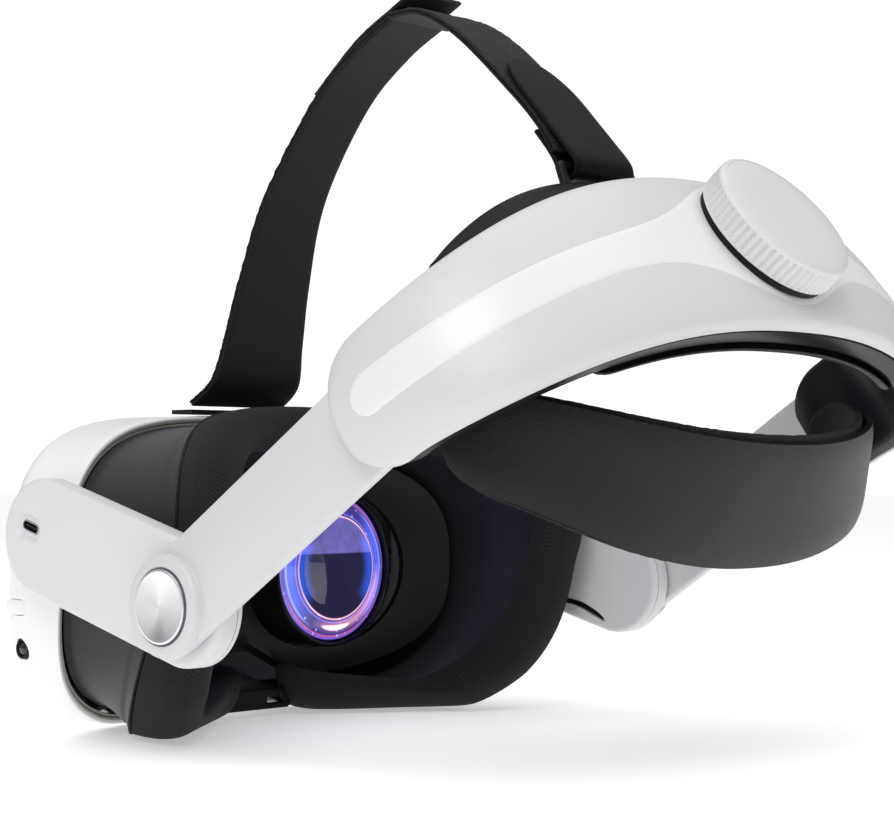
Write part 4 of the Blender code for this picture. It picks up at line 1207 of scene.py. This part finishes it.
def make_housing_back():
    rings = []
    for length in band_lengths(2.0, 0.97):
        middle, normal, width, half, beyond = band_at(length)
        half = max(half, 2.2)
        depth = 7.0 * max(0.1, 1 - beyond ** 2) ** 0.5
        loop = [(-0.65, half - 0.5), (-0.9, half - 0.25), (-1.4, half - 0.4),
                (-depth + 1.5, half - 1.2), (-depth + 0.4, half - 1.9), (-depth, half - 3)]
        loop += [(n, -w) for n, w in loop[::-1]]
        rings.append([middle + normal * n + width * w for n, w in loop])
    inner = skin("housing_back", rings, BLACK, "rear_housing", sharp=50)
    stand_in(inner, "black_plastic", "housing_inner", "detent_spring")


def make_liner():
    rings = []
    for index in range(81):
        length = -LINER_REACH + 2 * LINER_REACH * index / 80
        middle, normal, width, half = band_at(length)[:4]
        low, high = -half + 0.8, half - 8.4
        centre, tall = (low + high) / 2, (high - low) / 2
        near = min(1.0, (LINER_REACH - abs(length)) / 9.0)
        fat = math.sqrt(max(0.03, 1 - (1 - near) ** 2))
        ring = []
        for step in range(40):
            angle = 2 * math.pi * step / 40
            w = power(math.cos(angle), 0.72) * tall * (0.75 + 0.25 * fat)
            n = power(math.sin(angle), 0.8)
            n = -7.2 - 0.9 * fat - (3.9 * fat if n < 0 else 0.5) * abs(n) + (0.35 if n > 0 else 0)
            ring.append(middle + normal * n + width * (centre + w))
        rings.append(ring)
    liner = skin("liner_pad", rings, PADDED, "rear_housing", sharp=0)
    stand_in(liner, "pebble_leather", "rear_liner")


def make_knob():
    middle, normal = band_at(0)[:2]

    def ribs(angle, height):
        fade = min(1, max(0, (height - KNOB_BASE - 0.3) / 0.6))
        fade *= min(1, max(0, (KNOB_FACE - 1.3 - height) / 0.6))
        return 0.85 * fade * (0.5 - 0.5 * math.cos(KNOB_RIBS * angle)) ** 1.2

    ring_profile = offsets(KNOB_R, KNOB_BASE, [(-1.4, 0), (-0.5, 0), (-0.1, 0.3), (0, 0.9)])
    ring_profile += offsets(KNOB_R, KNOB_FACE, [(0, -1.9), (-0.05, -1.2), (-0.25, -0.6),
                                                (-0.7, -0.15), (-1.4, 0)])
    face_profile = [(0, KNOB_BASE + 1), (KNOB_R - 1.45, KNOB_BASE + 1)]
    face_profile += offsets(KNOB_R, KNOB_FACE, [(-1.45, -0.05), (-1.6, 0.02)])
    face_profile += offsets(0, KNOB_FACE, [(14, 0.3), (7, 0.45), (0, 0.5)])
    seam_profile = [(0, 6.5), (KNOB_R - 1.0, 6.5), (KNOB_R - 1.0, KNOB_BASE + 0.4),
                    (0, KNOB_BASE + 0.4)]
    ring = turned("dial_ring", ring_profile, middle, normal, WHITE_KNOB, "knob", KNOB_RIBS * 10,
                  looped=True, ribs=ribs)
    stand_in(ring, "white_plastic", "knob_ring")
    face = turned("dial_face", face_profile, middle, normal, WHITE_KNOB, "knob", 160, sharp=60)
    stand_in(face, "white_plastic", "knob_cap")
    seam = turned("dial_seam", seam_profile, middle, normal, BLACK_MATTE, "rear_housing", 128)
    stand_in(seam, "black_plastic")


make_cover()
make_inlay()
make_housing_back()
make_liner()
make_knob()


# ---- lower band

def low_centre(t):
    angle = (1 - min(1, abs(t))) * math.pi / 2
    x = LOW_HALF_WIDTH * abs(math.cos(angle)) ** (2 / 2.4)
    y = LOW_END[0] + LOW_DEPTH * abs(math.sin(angle)) ** (2 / 2.4)
    z = LOW_REAR_Z + (LOW_END[1] - LOW_REAR_Z) * (x / LOW_HALF_WIDTH) ** 2.2
    return Vector((math.copysign(x, t), y, z))


def low_station(t):
    middle = low_centre(t)
    rearness = 1 - (middle.x / LOW_HALF_WIDTH) ** 2
    lean = math.radians(25 * rearness)
    width = Vector((0, math.sin(lean), math.cos(lean)))
    tangent = (low_centre(min(0.999, t + 0.01)) - low_centre(max(-0.999, t - 0.01))).normalized()
    normal = outward(tangent.cross(width).normalized(), middle, 60)
    tapering = max(0, 1 - (LOW_TIP - abs(t)) / LOW_TAPER)
    half = (12.5 + 5.5 * rearness) * (0.3 + 0.7 * math.sqrt(1 - min(1, tapering) ** 2))
    return middle, normal, width, half


def make_lower_band():
    skin_rings, foam_rings = [], []
    for t in spread(-LOW_TIP, LOW_TIP, 161):
        middle, normal, width, half = low_station(t)
        shares = [-1 + 2 * step / 14 for step in range(15)]
        loop = [(1.6 - 1.0 * abs(share) ** 5, half * share) for share in shares]
        loop += [(-1.2, half - 0.1), (-1.4, half - 0.6), (-1.4, -half + 0.6), (-1.2, -half + 0.1)]
        skin_rings.append([middle + normal * n + width * w for n, w in loop])
        loop = []
        for step in range(40):
            angle = 2 * math.pi * step / 40
            w = power(math.cos(angle), 0.35) * (half + 1)
            n = -3.45 + 1.6 * power(math.sin(angle), 0.6)
            fuzz = noise.noise(Vector((middle.x * 1.1, step * 3.7, t * 97))) * 0.18
            loop.append((n - fuzz, w + fuzz))
        foam_rings.append([middle + normal * n + width * w for n, w in loop])
    outer = skin("low_band_skin", skin_rings, PEBBLE, "rear_housing", sharp=60)
    stand_in(outer, "pebble_leather", "lower_band")
    foam = skin("low_band_foam", foam_rings, FOAM, "rear_housing", sharp=0)
    stand_in(foam, "foam", "band_foam")


make_lower_band()


# ---- crown flap, buckle and top strap

def make_crown_flap():
    rings = []
    for index in range(91):
        t = -FLAP_SPAN + 2 * FLAP_SPAN * index / 90
        tangent = (band_centre(t + 0.01) - band_centre(t - 0.01)).normalized()
        middle, normal, width, half = band_section(band_centre(t), tangent)
        base = middle + width * (half - 3) - normal * 8.6
        x = base.x * 0.97
        share = min(1.0, abs(x) / 88)
        edge = Vector((x, 70 + 13 * share ** 2, 116 - 30 * share ** 2))
        face = (edge - base).cross(Vector((1, 0, 0))).normalized()
        tip = (edge - base).normalized() * 0.5

        def side_points(sign, shares):
            return [base.lerp(edge, s) + face * (sign * (1.2 + 0.5 * math.sin(math.pi * s)))
                    for s in shares]

        shares = [step / 8 for step in range(9)]
        rings.append(side_points(1, shares) + [edge + face * 0.6 + tip, edge - face * 0.6 + tip]
                     + side_points(-1, [1 - share for share in shares]))
    flap = skin("crown_panel", rings, RUBBER, "rear_housing", sharp=60)
    stand_in(flap, "black_plastic", "crown_flap")


def strap_rings(path, half_at, lift, thick, edge=0.5, fuzz=0.0):
    """Sections of a flat strap: 21 points on its inner face, 2 on each edge and 21 outside."""
    rings = []
    for index, point in enumerate(path):
        before = path[max(0, index - 1)]
        after = path[min(len(path) - 1, index + 1)]
        half = half_at(index / (len(path) - 1))
        out = Vector((1, 0, 0)).cross((after - before).normalized()).normalized()
        section = [(x, 0.0) for x in spread(-half + edge, half - edge, 21)]
        section += [(half, thick * 0.3), (half, thick * 0.7)]
        section += [(x, thick) for x in spread(half - edge, -half + edge, 21)]
        section += [(-half, thick * 0.7), (-half, thick * 0.3)]
        ring = []
        for column, (x, depth) in enumerate(section):
            nap = fuzz * noise.noise(Vector((column * 5.3, point.y * 1.7, point.z * 1.7)))
            sideways = nap if abs(x) > half - 1 else 0
            ring.append(point + Vector((x + sideways, 0, 0)) + out * (lift + depth + nap))
        rings.append(ring)
    return rings


def front_half(share):
    """The front strap is widest at its foot, and narrows towards the top."""
    narrowed = min(1, max(0, (share - 0.33) / 0.39))
    return (FRONT_HALF + 5 * math.exp(-(share / 0.28) ** 2)
            - NARROWING * narrowed ** 2 * (3 - 2 * narrowed))


def across_joint(piece, first, second, start, end):
    """Bakes a piece of strap's transform into its mesh. The two bodies are not used."""
    world(start)
    world(end)
    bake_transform(piece)
    return piece


def make_front_strap():
    """Two layers and a loose tail. Each layer is made in two lengths, which ride on no body."""
    path = smooth_path(FRONT_STRAP, 161)
    cut = 66       # where the low and the high length of each layer meet
    bends = (("headset", "left_temple", path[20], path[cut - 3]),
             ("left_temple", "left_strap_arm", path[cut + 3], path[157]))
    plies = (("strap_front", strap_rings(path, front_half, -1.0, 1.1), WEBBING),
             ("strap_nap", strap_rings(path, lambda share: front_half(share) + 0.25, 0.15, 0.85,
                                       fuzz=0.22), LOOPS))
    for name, rings, look in plies:
        low = across_joint(skin(name + "_low", rings[:cut + 1], look, None, sharp=60), *bends[0])
        across_joint(skin(name + "_high", rings[cut:], look, None, sharp=60), *bends[1])
        if name == "strap_front":
            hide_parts("top_strap_front")
    tail = strap_rings(smooth_path(TAIL, 61), lambda share: FRONT_HALF - NARROWING - 0.2, 0.0, 1.3,
                       fuzz=0.08)
    across_joint(skin("strap_tail", tail, WEBBING, None, sharp=60), *bends[1])


def make_rear_strap():
    path = smooth_path(REAR_STRAP, 101)
    plies = (("strap_rear", WEBBING, -1.0, 0.9, 0.0, REAR_HALF),
             ("strap_rear_nap", LOOPS, 0.0, 1.0, 0.3, REAR_HALF - 0.3))
    for name, look, lift, thick, fuzz, half in plies:
        rings = strap_rings(path, lambda share: half, lift, thick, fuzz=fuzz)
        piece = across_joint(skin(name, rings, look, None, sharp=60), "left_strap_arm",
                             "rear_housing", path[2], path[40])
        if name == "strap_rear":
            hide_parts("top_strap_rear")


def make_tab():
    def tab_half(share):
        near = min(1, share / 0.13)
        return (REAR_HALF - 0.5) * math.sqrt(max(0.02, 1 - (1 - near) ** 2.4))

    rings = strap_rings(smooth_path(TAB_STRAP, 141), tab_half, -0.7, 1.4)
    stand_in(skin("tab", rings, RUBBER, "rear_housing", sharp=60), "black_plastic", "strap_tab")


make_crown_flap()
buckle = ring_plate("buckle", rounded_box(0, 0, 17, 5, 1.8), rounded_box(0, 0, 13.8, 2, 0.8),
                    Vector((0, *BUCKLE)), Vector((0, -0.35, 0.94)), Vector((0, 0.94, 0.35)), 1.3,
                    BLACK, "rear_housing")
stand_in(buckle, "black_plastic", "strap_buckle")
make_front_strap()
make_rear_strap()
make_tab()


# ---- finish of the remaining CAD nodes

FINISH = ((WINDOW, ("front_camera_left", "front_camera_right", "display_left", "display_right")),
          (STEEL, ("midframe", "heat_sink", "wheel_pin", "hub_pin_left", "hub_pin_right")),
          (BLACK_MATTE, ("cooling_fan", "speaker_left", "speaker_right")),
          (NYLON, ("rack_left", "rack_right", "knob_pinion")),
          (BOARD, ("mainboard",)), (CELL, ("battery",)), (BLACK, ("strap_anchor",)))
for finish, names in FINISH:
    for name in names:
        node = frame["nodes"][name]
        if not node.material_slots:
            node.data.materials.append(finish)
        for place in node.material_slots:
            place.material = finish


# ---- floor, light and camera

def make_floor():
    half = 6.0
    mesh = bpy.data.meshes.new("floor")
    mesh.from_pydata([(-half, -half, 0), (half, -half, 0), (half, half, 0), (-half, half, 0)], [],
                     [(0, 1, 2, 3)])
    look = Look("floor_white", (0.93, 0.93, 0.93), 0.6)
    look.vary_rough(look.noise(look.place(), 30, 2), 0.05)
    look.set("Specular IOR Level", 0.2)
    look.set("Emission Color", (1, 1, 1, 1))
    look.set("Emission Strength", 0.40)
    mesh.materials.append(look.made)
    floor = bpy.data.objects.new("floor", mesh)
    floor.location.z = -0.0002
    bpy.context.scene.collection.objects.link(floor)


def make_sky():
    """A studio that is darker near the floor, and plain white where the camera sees past it."""
    sky = bpy.data.worlds.new("studio")
    sky.use_nodes = True
    nodes, links = sky.node_tree.nodes, sky.node_tree.links
    lit = nodes["Background"]
    lit.inputs["Strength"].default_value = 0.78
    coords = nodes.new("ShaderNodeTexCoord")
    apart = nodes.new("ShaderNodeSeparateXYZ")
    shade = nodes.new("ShaderNodeValToRGB")
    shade.color_ramp.elements[0].color = (0.30, 0.30, 0.31, 1)
    shade.color_ramp.elements[1].color = (1, 1, 1, 1)
    seen = nodes.new("ShaderNodeBackground")
    seen.inputs["Color"].default_value = (1, 1, 1, 1)
    seen.inputs["Strength"].default_value = 1.1
    path = nodes.new("ShaderNodeLightPath")
    mix = nodes.new("ShaderNodeMixShader")
    links.new(coords.outputs["Generated"], apart.inputs["Vector"])
    links.new(apart.outputs["Z"], shade.inputs["Fac"])
    links.new(shade.outputs["Color"], lit.inputs["Color"])
    links.new(path.outputs["Is Camera Ray"], mix.inputs[0])
    links.new(lit.outputs[0], mix.inputs[1])
    links.new(seen.outputs[0], mix.inputs[2])
    links.new(mix.outputs[0], nodes["World Output"].inputs["Surface"])
    bpy.context.scene.world = sky


def make_lamp(name, place, side, energy):
    light = bpy.data.lights.new(name, "AREA")
    light.shape = "RECTANGLE"
    light.size = light.size_y = side
    light.energy = energy
    lamp = bpy.data.objects.new(name, light)
    lamp.location = place
    lamp.rotation_euler = (Vector((0, 0, 0.1)) - Vector(place)).to_track_quat("-Z", "Y").to_euler()
    bpy.context.scene.collection.objects.link(lamp)


def make_camera():
    data = bpy.data.cameras.new("camera")
    data.sensor_width = 36
    data.lens = 36 * 2200 / 894
    data.clip_start = 0.01
    data.clip_end = 30
    camera = bpy.data.objects.new("camera", data)
    camera.location = world((483, 458, 36))
    camera.rotation_euler = (math.radians(91.7), 0, math.radians(133))
    bpy.context.scene.collection.objects.link(camera)
    bpy.context.scene.camera = camera


make_floor()
make_sky()
make_lamp("key", (0.9, 0.5, 1.1), 0.8, 6.4)
make_lamp("top", (-0.2, 0.1, 1.4), 1.2, 3.6)
bpy.context.scene.view_settings.view_transform = "Standard"
make_camera()
